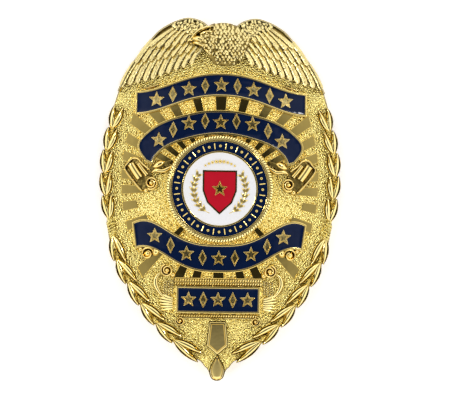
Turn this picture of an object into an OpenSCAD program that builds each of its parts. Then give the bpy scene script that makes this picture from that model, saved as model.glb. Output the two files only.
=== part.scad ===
// Shield badge with an eagle, a laurel wreath, three ribbons, a round seal and a panel.
// Millimetres. The badge lies on its back: face up along +Z, eagle towards +Y, rest plane at z = 0.

/* [Shield] */
// Width of the badge across the widest leaves
badge_w = 54.6; // [50:0.2:60]
// Height of the badge from the eagle's shoulders to the tip
badge_h = 82.5; // [78:0.5:88]
// Height of the plain face in the middle, above the rest plane
crown_h = 7.2; // [6.9:0.1:8]
// Radius of the face's curve from side to side
side_r = 75; // [72:1:90]
// Radius of the face's curve from top to bottom
spine_r = 168; // [164:1:200]
// How far the leaves' tips stand out past the plate's edge
leaf_reach = 0.9; // [0.6:0.1:1.2]

/* [Hollow back] */
// Thickness of the casting between its face and its hollow back
wall_t = 2.15; // [2.05:0.05:2.5]
// Least distance from the badge's outline to the hollow
rim_w = 2.3; // [2:0.1:2.6]

/* [Sunburst] */
// Height of a ray above the face
ray_lift = 0.25; // [0.15:0.05:0.4]
// Angle that one ray fills
ray_angle = 5.6; // [5:0.2:7]
// Distance from the badge's outline to the rays' ends
ray_margin = 4.9; // [4.5:0.1:6]

/* [Ribbons] */
// Height of the ribbons' raised frames above the face
frame_lift = 0.85; // [0.7:0.05:1.1]
// Width of a raised frame
frame_w = 0.45; // [0.4:0.05:0.6]
// Height of the enamel above the face
enamel_lift = 0.65; // [0.5:0.05:0.7]
// Depth of the enamel's pocket below the enamel's top
enamel_t = 0.8; // [0.6:0.05:1]
// Gap round each piece of enamel
enamel_gap = 0.05; // [0.04:0.01:0.08]
// Length of the upper ribbon
upper_l = 38.8; // [36:0.2:39]
// Width of the upper ribbon's band
upper_band = 5.3; // [4.8:0.05:5.4]
// Height of the upper ribbon's middle above the badge's centre
upper_y = 26; // [25.8:0.05:26.3]
// How far the upper ribbon's ends drop
upper_drop = 4.25; // [4:0.05:4.6]
// Radius of the middle ribbon's outer edge at its crown, from the seal's centre
middle_r = 17.5; // [17.2:0.1:17.8]
// Length of the lower ribbon
lower_l = 38.6; // [36:0.2:38.8]
// Width of the lower ribbon's band
lower_band = 6.3; // [5.6:0.05:6.35]
// Height of the lower ribbon's middle below the badge's centre
lower_y = 13.15; // [13.1:0.05:13.4]
// How far the lower ribbon's ends rise
lower_rise = 5.45; // [5:0.05:5.8]
// Radius of a curled ribbon end
curl_r = 1.75; // [1.5:0.05:1.9]

/* [Seal] */
// Height of the seal's centre above the badge's centre
seal_y = 2.5; // [2.3:0.1:2.7]
// Outer radius of the seal's rope
seal_r = 12.1; // [11.8:0.1:12.3]
// Outer radius of the navy ring
ring_r = 10.8; // [10.6:0.1:11]
// Radius of the white field
field_r = 8.2; // [8:0.1:8.4]
// Thickness of the seal's disc at its rope
seal_t = 1.7; // [1.5:0.1:2]
// How far the seal's seat lies under the face's middle
seal_sink = 1.0; // [0.8:0.05:1.1]
// Gap between the seal and its seat
seal_gap = 0.05; // [0.04:0.01:0.1]
// How far the seal's face lies under the top of its rope
rope_drop = 0.35; // [0.25:0.05:0.4]
// Depth of the seal's enamel cells
cell_depth = 0.6; // [0.5:0.05:0.7]
// Width of the walls between the enamel cells
wall_w = 0.35; // [0.25:0.05:0.4]
// Number of twists round the seal's rope
rope_twists = 40; // [36:4:60]
// Number of studs in the navy ring
ring_studs = 24; // [18:2:28]
// Width of the red shield in the seal
crest_w = 7; // [6:0.2:7.4]

/* [Panel] */
// Width of the panel's enamel
panel_w = 18; // [17:0.1:18.2]
// Height of the panel's enamel
panel_h = 5.2; // [4.8:0.1:5.3]
// Distance of the panel's centre below the badge's centre
panel_y = 22.5; // [22.4:0.1:22.6]

/* [Raised ornaments] */
// Width of one of the ropes above and below the panel
rope_w = 0.95; // [0.8:0.05:1]
// Height of these ropes above the face
rope_rise = 0.65; // [0.5:0.05:0.8]
// Height of the ridged ornaments beside the panel
ornament_rise = 0.6; // [0.4:0.05:0.8]
// Radius of a star in the ribbons
star_r = 1.82; // [1.54:0.04:1.82]
// Distance between stars as a share of a ribbon's length
star_pitch = 0.094; // [0.09:0.002:0.1]
// Height of a star above the enamel
star_lift = 0.25; // [0.15:0.05:0.35]

/* [Wreath] */
// Distance from the badge's outline to the middle of a branch
branch_inset = 1.2; // [1.1:0.05:1.4]
// Length of one laurel leaf
leaf_l = 5.6; // [5.2:0.1:6]
// Width of one laurel leaf
leaf_w = 1.75; // [1.5:0.05:1.9]
// Height of a leaf's ridge above the face
leaf_rise = 1.3; // [1.1:0.05:1.5]
// Height of the wreath's tie above the badge's centre
tie_y = -7.3; // [-7.7:0.1:-6.9]
// Length of the bare stem at the tie
tie_l = 4.4; // [4:0.1:4.8]

/* [Eagle] */
// Height of the wings above the face
wing_lift = 0.9; // [0.7:0.05:1.1]
// Height of a feather above the wing
feather_rise = 0.55; // [0.4:0.05:0.7]
// Width of one feather
feather_w = 1.75; // [1.6:0.05:1.9]
// Height of the eagle's body above the face
eagle_rise = 2.4; // [2:0.1:2.8]

/* [Lower tip] */
// Distance from the panel's frame down to the keystone
keystone_drop = 2; // [1.6:0.1:2.4]
// Height of the keystone and the teardrop above the face
tip_rise = 1.5; // [1.2:0.1:1.8]
// Width of their bevelled edges
tip_bevel = 0.5; // [0.3:0.1:0.6]
// Length of the keystone
keystone_l = 7.3; // [6.8:0.1:7.5]
// Width of the keystone
keystone_w = 4.6; // [4.2:0.1:5]
// Length of the teardrop at the tip
drop_l = 5.7; // [5.4:0.1:5.9]
// Width of the teardrop
drop_w = 3.2; // [2.8:0.1:3.4]

/* [Pin] */
// Distance between the pin's two blocks
pin_span = 20; // [18:0.5:21]
// Height of the pin above the badge's centre
pin_y = 12; // [10:0.5:13]
// Diameter of the pin's wire
pin_d = 0.9; // [0.8:0.05:1.1]
// Length of a block along the pin
pin_block_l = 4.4; // [4:0.1:5]
// Width of a block
pin_block_w = 4; // [3.6:0.1:4.4]
// Height of the pads that the blocks are soldered to
pad_z = 2.9; // [2.7:0.05:3]
// Room between the blocks and the rest plane
pin_clear = 0.5; // [0.4:0.05:0.8]
// Gap between a block and its pad
pin_gap = 0.05; // [0.03:0.01:0.1]

/* [Hidden] */

gold = [0.86, 0.72, 0.32];
navy = [0.08, 0.12, 0.32];
half_w = badge_w / 2;
half_h = badge_h / 2;
plate_base = 0;
tall = 14;
// How far the leaves and the other raised pieces reach into the face
foot_h = 0.5;
// Distance from the outline to the plate's edge where no leaf overhangs it
bare_margin = 0.18;
// Room between the hollow back's ceiling and the pads' and frames' ends
FLOOR_MARGIN = 0.4;

// Right half of the outline, from the eagle's crown to the tip: shares of half the width and height
EDGE = [
    [0.000, 0.975], [0.060, 0.972], [0.122, 0.955], [0.185, 0.985], [0.285, 1.000], [0.375, 0.985],
    [0.462, 0.957], [0.536, 0.922], [0.618, 0.858], [0.697, 0.792], [0.766, 0.726], [0.816, 0.661],
    [0.862, 0.592], [0.905, 0.495], [0.945, 0.397], [0.975, 0.310], [0.995, 0.215], [1.000, 0.110],
    [0.988, 0.020], [0.980, -0.060], [0.945, -0.140], [0.918, -0.230], [0.890, -0.330], [0.835, -0.405],
    [0.765, -0.490], [0.690, -0.570], [0.610, -0.640], [0.520, -0.710], [0.420, -0.775], [0.315, -0.830],
    [0.215, -0.885], [0.105, -0.922], [0.072, -0.950], [0.047, -0.979], [0.000, -1.000]
];
// First and last rows of EDGE where the wreath's leaves overhang the plate, above and below the tie
LEAFY = [[14, 19], [22, 30]];
CROWN_POINTS = 3;
WING_POINTS = 12;
FEATHER_BLUNT = 0.3;

// Right half of the middle ribbon: [degrees from straight up, inner radius, outer radius],
// both radii as shares of middle_r
MIDDLE = [
    [0, 0.705, 1.015], [12, 0.708, 1.026], [24, 0.730, 1.050], [35, 0.768, 1.102], [45, 0.825, 1.158],
    [54, 0.878, 1.200], [61, 0.912, 1.215], [66, 0.924, 1.155], [70.5, 0.920, 1.020]
];

// Rays on the right half: [degrees from straight up, inner end, outer end, share of ray_angle], both ends as
// shares of seal_r; those with an outer end of 3 run on to the margin of the wreath
RAYS = [
    [0, 1, 1.93, 1.3], [15, 1, 1.93, 1], [29.7, 1, 1.97, 1], [41.5, 1, 2.1, 1], [52, 1, 3, 1], [62, 1, 3, 1],
    [71.5, 1.6, 3, 1], [82, 1.55, 3, 1], [91, 1.3, 3, 1], [101, 1.57, 3, 1], [112.5, 1.45, 3, 1],
    [137, 1, 3, 1], [156, 1.33, 1.88, 1], [166, 1.31, 1.8, 1], [180, 1.3, 1.75, 1.3]
];

// Right wing's feather tiers: [curve of the tips, curve of the roots, number of feathers, height of the
// tier as a share of wing_lift]; both curves run outwards from the body, in shares of half the width and height
TIERS = [
    [[[0.230, 0.752], [0.500, 0.672], [0.815, 0.612]], [[0.200, 0.850], [0.450, 0.800], [0.725, 0.748]], 10, 1.15],
    [[[0.283, 0.812], [0.490, 0.772], [0.700, 0.748]], [[0.230, 0.905], [0.420, 0.868], [0.590, 0.868]], 8, 1.45],
    [[[0.255, 0.895], [0.450, 0.842], [0.600, 0.862]], [[0.235, 0.950], [0.310, 0.965], [0.410, 0.962]], 6, 1.75]
];

// Outlines of the eagle's body and of its head, which looks to the left: shares of half the width and height
EAGLE_BODY = [
    [-0.152, 0.945], [-0.086, 0.962], [0.000, 0.974], [0.080, 0.966], [0.142, 0.953], [0.230, 0.927],
    [0.248, 0.872], [0.199, 0.822], [0.159, 0.761], [0.085, 0.738], [0.000, 0.735], [-0.073, 0.753],
    [-0.124, 0.808], [-0.158, 0.868]
];
EAGLE_HEAD = [
    [-0.287, 0.869], [-0.225, 0.889], [-0.184, 0.917], [-0.143, 0.934], [-0.085, 0.943], [-0.034, 0.880],
    [-0.074, 0.775], [-0.124, 0.808], [-0.166, 0.840], [-0.224, 0.856]
];

// Folded tail behind the middle ribbon's right tip, as shares of half the width and height
TAIL = [[0.680, 0.222], [0.780, 0.175], [0.625, 0.030], [0.560, 0.150]];
TAIL_STRIP = [[0.570, 0.180], [0.600, 0.135], [0.420, 0.190], [0.400, 0.218]];
CURLS = [[0.568, 0.088], [0.590, -0.298], [0.425, -0.388], [0.312, -0.664]];

// Side ornament beside the panel: its near and far sides as shares of half the width
ORNAMENT_X = [0.372, 0.490];
ORNAMENT_RIDGES = 7;

// The tilted teardrop reaches a little past its flat outline
tip_margin = 0.15;
ROPE_TURNS = 13;
TWIST = 30;

// Keystone's half outline: [share of its width, share of its length from the top]
KEYSTONE = [[0.38, 0.00], [0.50, 0.73], [0.00, 1.00]];

// Teardrop's half outline: [share of its width, share of its length from the bottom]
DROP = [[0, 1], [0.19, 0.80], [0.41, 0.58], [0.50, 0.36], [0.41, 0.14], [0.22, 0.03], [0, 0]];

function to_mm(p) = [p[0] * half_w, p[1] * half_h];
function flip(p) = [-p[0], p[1]];
function turn_over(points) = [for (i = [len(points) - 1:-1:0]) points[i]];
function whole(half) = concat(half, [for (p = turn_over(half)) if (abs(p[0]) > 0.001) flip(p)]);

// A smooth curve through points, with both ends kept
function curve_point(a, b, c, d, t) =
    0.5 * (2 * b + (c - a) * t + (2 * a - 5 * b + 4 * c - d) * t * t + (3 * b - a - 3 * c + d) * t * t * t);
function smooth(points, steps) = concat([
    for (i = [0:len(points) - 2], s = [0:steps - 1])
        curve_point(points[max(i - 1, 0)], points[i], points[i + 1], points[min(i + 2, len(points) - 1)],
            s / steps)
], [points[len(points) - 1]]);

// A closed outline moved inwards by d, for outlines that run clockwise
function inward(a, b) = let (v = b - a) [v[1], -v[0]] / norm(v);
function inset(points, d) = [
    for (i = [0:len(points) - 1])
        let (
            n = len(points),
            before = inward(points[(i + n - 1) % n], points[i]),
            after = inward(points[i], points[(i + 1) % n]),
            mid = before + after
        ) points[i] + mid * d * 2 / max(mid * mid, 1)
];

// Height of the domed face at a point
function face_z(x, y) =
    crown_h - spine_r + sqrt(pow(spine_r - side_r + sqrt(side_r * side_r - x * x), 2) - y * y);
function many_mm(points) = [for (p = points) to_mm(p)];
function polar(r, turn) = [r * sin(turn), r * cos(turn)];
function tilt_at(p) = [-asin(p[1] / spine_r), asin(p[0] / side_r), 0];

OUTLINE = whole(many_mm(EDGE));
function leafy(row) = len([for (run = LEAFY) if (row >= run[0] && row <= run[1]) run]) > 0;
function plate_margin(i) = leafy(min(i, len(OUTLINE) - i)) ? leaf_reach : bare_margin;
PLATE = let (full = inset(OUTLINE, 1))
    [for (i = [0:len(OUTLINE) - 1]) OUTLINE[i] + (full[i] - OUTLINE[i]) * plate_margin(i)];
function shrunk(margin) = [for (p = OUTLINE) [p[0] * (1 - margin / half_w), p[1] * (1 - margin / half_h)]];

// Solid under the domed face, lifted by lift
module face(lift) {
    depth = 11;
    sweep = 38;
    translate([0, 0, crown_h + lift - spine_r])
        rotate([0, -90, 0])
            rotate_extrude(angle = sweep, start = -sweep / 2, $fn = 96)
                translate([spine_r - side_r, 0])
                    intersection() {
                        circle(side_r, $fn = 72);
                        translate([side_r - depth, -side_r]) square([depth + 1, 2 * side_r]);
                    }
}

// A flat shape raised from the rest plane to a height above the face
module raised(lift) {
    intersection() {
        translate([0, 0, plate_base]) linear_extrude(tall) children();
        face(lift);
    }
}

// A flat shape as a sheet between two heights above the face
module sheet(low, high) {
    difference() {
        intersection() {
            translate([0, 0, 1]) linear_extrude(tall) children();
            face(high);
        }
        face(low);
    }
}

// Puts its child on the face at p, square to the face
module on_face(p, lift = 0) {
    translate([p[0], p[1], face_z(p[0], p[1]) + lift]) rotate(tilt_at(p)) children();
}

module both_sides() {
    children();
    mirror([1, 0, 0]) children();
}

// A pointed leaf or feather from its root to its tip, with a ridge along it
module blade(root, tip, w, rise, lift, blunt = 0) {
    l = norm(tip - root);
    side = [[-l / 2, w * blunt], [l * 0.1, w / 2]];
    foot = concat(side, [[l / 2, 0]], [for (p = turn_over(side)) [p[0], -p[1]]]);
    ridge = [[-l * 0.3, 0, rise], [l * 0.25, 0, rise]];
    on_face((root + tip) / 2, lift)
        rotate([0, 0, atan2(tip[1] - root[1], tip[0] - root[0])])
            hull()
                polyhedron(
                    points = concat([for (p = foot) [p[0], p[1], -foot_h]], ridge),
                    faces = [
                        [4, 3, 2, 1, 0], [0, 1, 5], [1, 6, 5], [1, 2, 6], [2, 3, 6], [3, 5, 6], [3, 4, 5], [4, 0, 5]
                    ]
                );
}

function star(r, points = 5, waist = 0.45) =
    [for (i = [0:2 * points - 1]) polar(i % 2 == 0 ? r : r * waist, 180 * i / points)];
function moved(points, by) = [for (p = points) p + by];

// Middle line of a waved ribbon: the ends lie rise above its middle
function wave(x, rise, turn, power) = rise * (1 - cos(180 * pow(abs(x) / turn, power))) / 2;
function ribbon_half(l, band, y, rise, turn, power, side) =
    [for (i = [0:6]) let (x = l / 2 * i / 6) [x, y + side * band / 2 + wave(x, rise, turn, power)]];
function ribbon(l, band, y, rise, turn, power, slant = 0) = concat(
    whole_edge(ribbon_half(l * (1 + slant), band, y, rise, turn, power, 1)),
    turn_over(whole_edge(ribbon_half(l * (1 - slant), band, y, rise, turn, power, -1))));
function whole_edge(half) = concat([for (i = [len(half) - 1:-1:1]) flip(half[i])], half);

UPPER_WAVE = 1.15;
LOWER_WAVE = 1.5;
LOWER_SLANT = 0.021;
lower_turn = lower_l / 2 * 0.88;
UPPER = ribbon(upper_l, upper_band, upper_y, -upper_drop, upper_l / 2, UPPER_WAVE);
LOWER = ribbon(lower_l, lower_band, -lower_y, lower_rise, lower_turn, LOWER_WAVE, LOWER_SLANT);

function middle_edge(column) = [for (row = MIDDLE) polar(row[column] * middle_r, row[0]) + [0, seal_y]];
MIDDLE_BAND = concat(whole_edge(middle_edge(2)), turn_over(whole_edge(middle_edge(1))));
PANEL = let (x = panel_w / 2 + frame_w, y = panel_h / 2 + frame_w)
    [[-x, -panel_y + y], [x, -panel_y + y], [x, -panel_y - y], [-x, -panel_y - y]];

// Places of the stars and lozenges, 9 in a ribbon and 5 in the panel
function upper_stars() = [for (i = [-4:4]) let (x = i * upper_l * star_pitch)
    [x, upper_y + wave(x, -upper_drop, upper_l / 2, UPPER_WAVE)]];
function lower_stars() = [for (i = [-4:4]) let (x = i * lower_l * star_pitch)
    [x, -lower_y + wave(x, lower_rise, lower_turn, LOWER_WAVE)]];
function middle_stars() = [for (i = [-4:4]) let (turn = i * 13, out = 0.858 + 0.0029 * abs(turn))
    polar(middle_r * out, turn) + [0, seal_y]];
function panel_stars() = [for (i = [-2:2]) [i * panel_w * 0.185, -panel_y]];

// A row of stars with lozenges between them
module stars(places, r) {
    for (i = [0:len(places) - 1]) polygon(moved(i % 2 == 0 ? star(r) : star(r, 2, 0.5), places[i]));
}

// Frame of one ribbon or of the panel, with its stars: everything above the pocket's floor
module framed(outline, places) {
    raised(frame_lift)
        difference() {
            polygon(outline);
            polygon(inset(outline, frame_w));
        }
    raised(enamel_lift - enamel_t) polygon(outline);
    raised(enamel_lift + star_lift) stars(places, star_r);
}

// Enamel in one frame, with holes for the stars
module enamel(outline, places) {
    color(navy)
        sheet(enamel_lift - enamel_t + enamel_gap, enamel_lift)
            difference() {
                polygon(inset(outline, frame_w + enamel_gap));
                stars(places, star_r + 2 * enamel_gap);
            }
}

module rays() {
    raised(ray_lift)
        intersection() {
            polygon(shrunk(ray_margin));
            translate([0, seal_y])
                union() {
                    for (row = RAYS, side = row[0] > 0 && row[0] < 180 ? [-1, 1] : [1])
                        let (
                            near = seal_r * row[1], far = seal_r * row[2],
                            wide = ray_angle * row[3], low = side * row[0] - wide / 2, high = low + wide
                        ) polygon([polar(near, low), polar(far, low), polar(far, high), polar(near, high)]);
                }
        }
}

// Points down the middle of the right branch
BRANCH = inset(OUTLINE, branch_inset);
function branch_lengths(i = 0, sum = 0, out = []) =
    i >= len(EDGE) - 1 ? concat(out, [sum])
    : branch_lengths(i + 1, sum + norm(BRANCH[i + 1] - BRANCH[i]), concat(out, [sum]));
BRANCH_AT = branch_lengths();
function branch_point(s) = let (i = max([for (k = [0:len(EDGE) - 2]) BRANCH_AT[k] <= s ? k : 0]))
    BRANCH[i] + (BRANCH[i + 1] - BRANCH[i]) * (s - BRANCH_AT[i]) / (BRANCH_AT[i + 1] - BRANCH_AT[i]);
TIE_AT = let (i = max([for (k = [0:len(EDGE) - 2]) BRANCH[k][1] >= tie_y ? k : 0])) BRANCH_AT[i];

// The wreath's two runs: [direction along the branch, pairs of leaves, step as a share of leaf_l]
RUNS = [[-1, 5, 0.92], [1, 6, 1]];

// A pair's leaves: [direction of the run, side from the branch with 1 towards the badge's middle,
// length as a share of leaf_l, distance of the tip from the branch as a share of leaf_w]
LEAVES = [[-1, 1, 0.92, 0.70], [-1, -1, 0.92, 0.6], [1, 1, 1.14, 1.05], [1, -1, 1, 0.62]];

// One pair of leaves that starts at s along the branch and points up or down it
module leaf_pair(s, way) {
    root = branch_point(s);
    ahead = branch_point(s + way * leaf_l);
    along = (ahead - root) / norm(ahead - root);
    out = [way * along[1], -way * along[0]];
    for (leaf = LEAVES) if (leaf[0] == way)
        let (side = out * leaf[1] * leaf[3] * leaf_w)
            blade(root + side * 0.25, root + along * leaf_l * leaf[2] + side, leaf_w, leaf_rise, 0, 0.12);
}

module wreath() {
    both_sides() {
        for (run = RUNS, i = [0:run[1] - 1]) leaf_pair(TIE_AT + run[0] * (tie_l / 2 + i * run[2] * leaf_l), run[0]);
        for (i = [-1:1])
            on_face(branch_point(TIE_AT + i * tie_l / 4), 0)
                cube([leaf_w * 1.1, leaf_w * 0.35, 2 * leaf_rise * 0.6], center = true);
    }
}

// Feathers of one tier, from the body outwards
module feather_tier(tier) {
    steps = 12;
    tips = smooth(many_mm(tier[0]), steps);
    roots = smooth(many_mm(tier[1]), steps);
    for (i = [0:tier[2] - 1])
        let (k = round(i / (tier[2] - 1) * 2 * steps))
            blade(roots[k], tips[k], feather_w, feather_rise, wing_lift * tier[3], FEATHER_BLUNT);
}

module wing() {
    edge = [for (i = [CROWN_POINTS - 1:WING_POINTS]) OUTLINE[i]];
    raised(wing_lift) polygon(concat(edge, turn_over(many_mm(TIERS[0][0]))));
    intersection() {
        linear_extrude(tall) polygon(OUTLINE);
        for (tier = TIERS) feather_tier(tier);
    }
}

// A rounded mound on the face, longer than it is wide
module mound(p, l, w, rise, turn) {
    ball_r = w * 0.42;
    on_face(p)
        rotate([0, 0, turn])
            hull() {
                for (x = [-1, 1])
                    translate([x * (l - w) / 2, 0, rise - ball_r]) sphere(ball_r, $fn = 8);
                translate([0, 0, -foot_h]) linear_extrude(foot_h) scale([l / w, 1]) circle(w / 2, $fn = 12);
            }
}

module eagle() {
    both_sides() wing();
    raised(eagle_rise * 0.6) polygon(many_mm(EAGLE_BODY));
    mound(to_mm([0.03, 0.865]), half_h * 0.17, half_w * 0.26, eagle_rise, turn = 80);
    raised(eagle_rise * 0.75) polygon(many_mm(EAGLE_HEAD));
    mound(to_mm([-0.13, 0.895]), half_w * 0.18, half_w * 0.12, eagle_rise * 1.1, turn = 35);
}

// Curled ribbon end, as a raised ring
module curl(p, r) {
    raised(frame_lift)
        translate(p)
            difference() {
                circle(r, $fn = 12);
                circle(r * 0.62, $fn = 10);
            }
}

module ribbon_ends() {
    both_sides() {
        raised(frame_lift) polygon(many_mm(TAIL));
        raised(frame_lift * 0.7) polygon(many_mm(TAIL_STRIP));
        for (p = CURLS) curl(to_mm(p), curl_r);
    }
}

// A straight row of slanted twists between two points
module rope(from, to, n) {
    for (i = [0:n - 1])
        on_face(from + (to - from) * (i + 0.5) / n)
            rotate([0, 0, TWIST])
                cube([norm(to - from) / n * 0.6, rope_w * 0.85, 2 * rope_rise], center = true);
}

module side_ornament() {
    near = ORNAMENT_X[0] * half_w;
    far = ORNAMENT_X[1] * half_w;
    top = -panel_y + panel_h * 0.75;
    step = panel_h * 1.5 / ORNAMENT_RIDGES;
    for (i = [0:ORNAMENT_RIDGES - 1])
        let (
            y = top - step * (i + 0.5),
            a = [near, -panel_y + (y + panel_y) * 0.75],
            b = [far, y]
        ) blade(a, b, step, ornament_rise, 0, 0.4);
}

// A flat shape with a bevelled edge that stands on the face
module bevelled(points, p, rise, bevel) {
    skin = 0.05;
    on_face(p)
        hull() {
            translate([0, 0, -2 * foot_h]) linear_extrude(2 * foot_h + rise - bevel) polygon(moved(points, -p));
            translate([0, 0, rise - skin]) linear_extrude(skin) polygon(moved(inset(points, bevel), -p));
        }
}

module lower_tip() {
    top = -panel_y - panel_h / 2 - frame_w - keystone_drop;
    keystone = whole([for (row = KEYSTONE) [row[0] * keystone_w, top - row[1] * keystone_l]]);
    bevelled(keystone, [0, top - keystone_l / 2], tip_rise, tip_bevel);
    low = -half_h + tip_margin;
    drop = whole([for (row = DROP) [row[0] * drop_w, low + row[1] * drop_l]]);
    bevelled(drop, [0, low + drop_l / 2], tip_rise, tip_bevel);
}

module panel_trim() {
    x = panel_w / 2 + 2 * frame_w;
    above = -panel_y + panel_h / 2 + frame_w;
    below = -panel_y - panel_h / 2 - frame_w - rope_w * 0.7;
    for (row = [0.5, 1.5]) rope([-x, above + row * rope_w], [x, above + row * rope_w], ROPE_TURNS);
    rope([-x * 0.83, below], [x * 0.83, below], round(ROPE_TURNS * 0.83));
    both_sides() side_ornament();
}

module hollow() {
    intersection() {
        face(-wall_t);
        translate([0, 0, -1]) linear_extrude(tall) polygon(shrunk(rim_w));
    }
}

module pads() {
    for (side = [-1, 1])
        translate([side * pin_span / 2 - pin_block_l / 2, pin_y - pin_block_w / 2, pad_z])
            cube([pin_block_l, pin_block_w, crown_h - wall_t - FLOOR_MARGIN - pad_z]);
}

seat_z = crown_h - seal_sink;

module shield_body() {
    color(gold)
        union() {
            difference() {
                union() {
                    raised(0) polygon(PLATE);
                    rays();
                    eagle();
                    wreath();
                    ribbon_ends();
                    panel_trim();
                    lower_tip();
                }
                translate([0, seal_y, seat_z]) cylinder(h = tall, r = seal_r + seal_gap, $fn = 48);
                for (outline = [UPPER, MIDDLE_BAND, LOWER, PANEL])
                    difference() {
                        translate([0, 0, 1]) linear_extrude(tall) polygon(inset(outline, frame_w * 0.5));
                        face(enamel_lift - enamel_t);
                    }
                hollow();
                translate([0, 0, -tall]) linear_extrude(tall) square(2 * badge_h, center = true);
            }
            difference() {
                union() {
                    framed(UPPER, upper_stars());
                    framed(MIDDLE_BAND, middle_stars());
                    framed(LOWER, lower_stars());
                    framed(PANEL, panel_stars());
                }
                face(FLOOR_MARGIN - wall_t);
            }
            pads();
        }
}

module upper_enamel() enamel(UPPER, upper_stars());
module middle_enamel() enamel(MIDDLE_BAND, middle_stars());
module lower_enamel() enamel(LOWER, lower_stars());
module panel_enamel() enamel(PANEL, panel_stars());

seal_top = seat_z + seal_gap + seal_t;
seal_face = seal_top - rope_drop;
cell_floor = seal_face - cell_depth;
stud_r = 0.32;
stud_ring_r = (field_r + wall_w + ring_r) / 2;
crest = whole([for (p = [[0, 0.55], [0.5, 0.55], [0.5, -0.05], [0.36, -0.42], [0, -0.75]]) p * crest_w]);
CREST_STAR = star(crest_w * 0.26);

module ring_cell(low_r, high_r) {
    difference() {
        circle(high_r, $fn = 48);
        circle(low_r, $fn = 48);
    }
}

module studs(r) {
    for (i = [0:ring_studs - 1]) translate(polar(stud_ring_r, 360 * i / ring_studs)) circle(r, $fn = 8);
}

module seal_disc() {
    color(gold)
        translate([0, seal_y, 0]) {
            difference() {
                translate([0, 0, seat_z + seal_gap]) cylinder(h = seal_t - rope_drop, r = seal_r, $fn = 48);
                translate([0, 0, cell_floor]) linear_extrude(tall) {
                    ring_cell(field_r + wall_w, ring_r);
                    difference() {
                        circle(field_r, $fn = 48);
                        polygon(inset(crest, -wall_w));
                    }
                    polygon(crest);
                }
            }
            for (i = [0:rope_twists - 1])
                rotate([0, 0, 360 * i / rope_twists])
                    translate([(seal_r + ring_r) / 2, 0, seal_face])
                        rotate([TWIST, 0, 0])
                            cube([seal_r - ring_r - 2 * enamel_gap, seal_r * 0.087, 2 * rope_drop], center = true);
            translate([0, 0, cell_floor - enamel_gap]) linear_extrude(cell_depth + 4 * enamel_gap) {
                studs(stud_r);
                polygon(CREST_STAR);
            }
        }
}

module seal_enamel(tint) {
    color(tint)
        translate([0, seal_y, cell_floor + enamel_gap]) linear_extrude(cell_depth - 2 * enamel_gap) children();
}

module seal_ring_enamel() {
    seal_enamel(navy)
        difference() {
            ring_cell(field_r + wall_w + enamel_gap, ring_r - enamel_gap);
            studs(stud_r + enamel_gap);
        }
}

module seal_field_enamel() {
    seal_enamel("white")
        difference() {
            circle(field_r - enamel_gap, $fn = 48);
            polygon(inset(crest, -wall_w - enamel_gap));
        }
}

module seal_red_enamel() {
    seal_enamel("crimson")
        difference() {
            polygon(inset(crest, enamel_gap));
            polygon(inset(CREST_STAR, -enamel_gap));
        }
}

module back_pin() {
    top = pad_z - pin_gap;
    color("silver") {
        for (side = [-1, 1])
            translate([side * pin_span / 2 - pin_block_l / 2, pin_y - pin_block_w / 2, pin_clear])
                cube([pin_block_l, pin_block_w, top - pin_clear]);
        translate([-pin_span / 2, pin_y, pin_clear + pin_d])
            rotate([0, 90, 0]) cylinder(h = pin_span, r = pin_d / 2, $fn = 24);
    }
}

shield_body();
upper_enamel();
middle_enamel();
lower_enamel();
panel_enamel();
seal_disc();
seal_ring_enamel();
seal_field_enamel();
seal_red_enamel();
back_pin();
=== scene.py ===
"""A gold-plated shield badge that lies on its back, face up, on a pale floor.

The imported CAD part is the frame. The pieces made here repeat its sizes and follow its domed face.
Every size is in millimetres, and a piece is scaled to metres when it is finished.
"""

import math

import bmesh
import bpy
from mathutils import Matrix, Vector


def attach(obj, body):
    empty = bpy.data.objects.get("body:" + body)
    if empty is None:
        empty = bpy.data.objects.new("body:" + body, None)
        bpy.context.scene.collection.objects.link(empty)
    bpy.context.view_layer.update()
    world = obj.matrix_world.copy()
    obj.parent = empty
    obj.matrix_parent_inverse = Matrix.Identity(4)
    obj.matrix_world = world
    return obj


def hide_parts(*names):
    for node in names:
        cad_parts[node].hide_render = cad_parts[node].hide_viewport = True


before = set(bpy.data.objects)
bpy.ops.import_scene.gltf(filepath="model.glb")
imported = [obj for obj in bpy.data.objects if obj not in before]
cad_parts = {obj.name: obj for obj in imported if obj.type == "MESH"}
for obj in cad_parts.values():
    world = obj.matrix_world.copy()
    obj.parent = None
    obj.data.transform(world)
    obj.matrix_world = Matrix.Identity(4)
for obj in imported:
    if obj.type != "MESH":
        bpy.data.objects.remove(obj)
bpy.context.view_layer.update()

MM = 0.001
# Casting: half sizes, the dome's height and its radii across and along, wall, room for leaves, back rim
HALF_W, HALF_H = 27.3, 41.25
CROWN_H, SIDE_R, SPINE_R = 7.2, 75.0, 168.0
WALL_T = 2.15
LEAF_REACH, BARE_MARGIN = 0.9, 0.18
RIM_W = 2.3
# How far most raised pieces reach down into the plate
FOOT = 0.5

RAY_LIFT, RAY_ANGLE, RAY_MARGIN = 0.25, 5.6, 4.9
FRAME_LIFT, FRAME_W = 0.85, 0.45
ENAMEL_LIFT, ENAMEL_T = 0.65, 0.8
UPPER_L, UPPER_BAND, UPPER_Y, UPPER_DROP, UPPER_WAVE = 38.8, 5.3, 26.0, 4.25, 1.15
LOWER_L, LOWER_BAND, LOWER_Y, LOWER_RISE, LOWER_WAVE = 38.6, 6.3, -13.15, 5.45, 1.5
LOWER_SLANT, LOWER_TURN = 0.021, LOWER_L / 2 * 0.88
MIDDLE_R = 17.5
STAR_R, STAR_PITCH, STAR_LIFT = 1.82, 0.094, 0.25
CURL_R = 1.75

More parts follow.
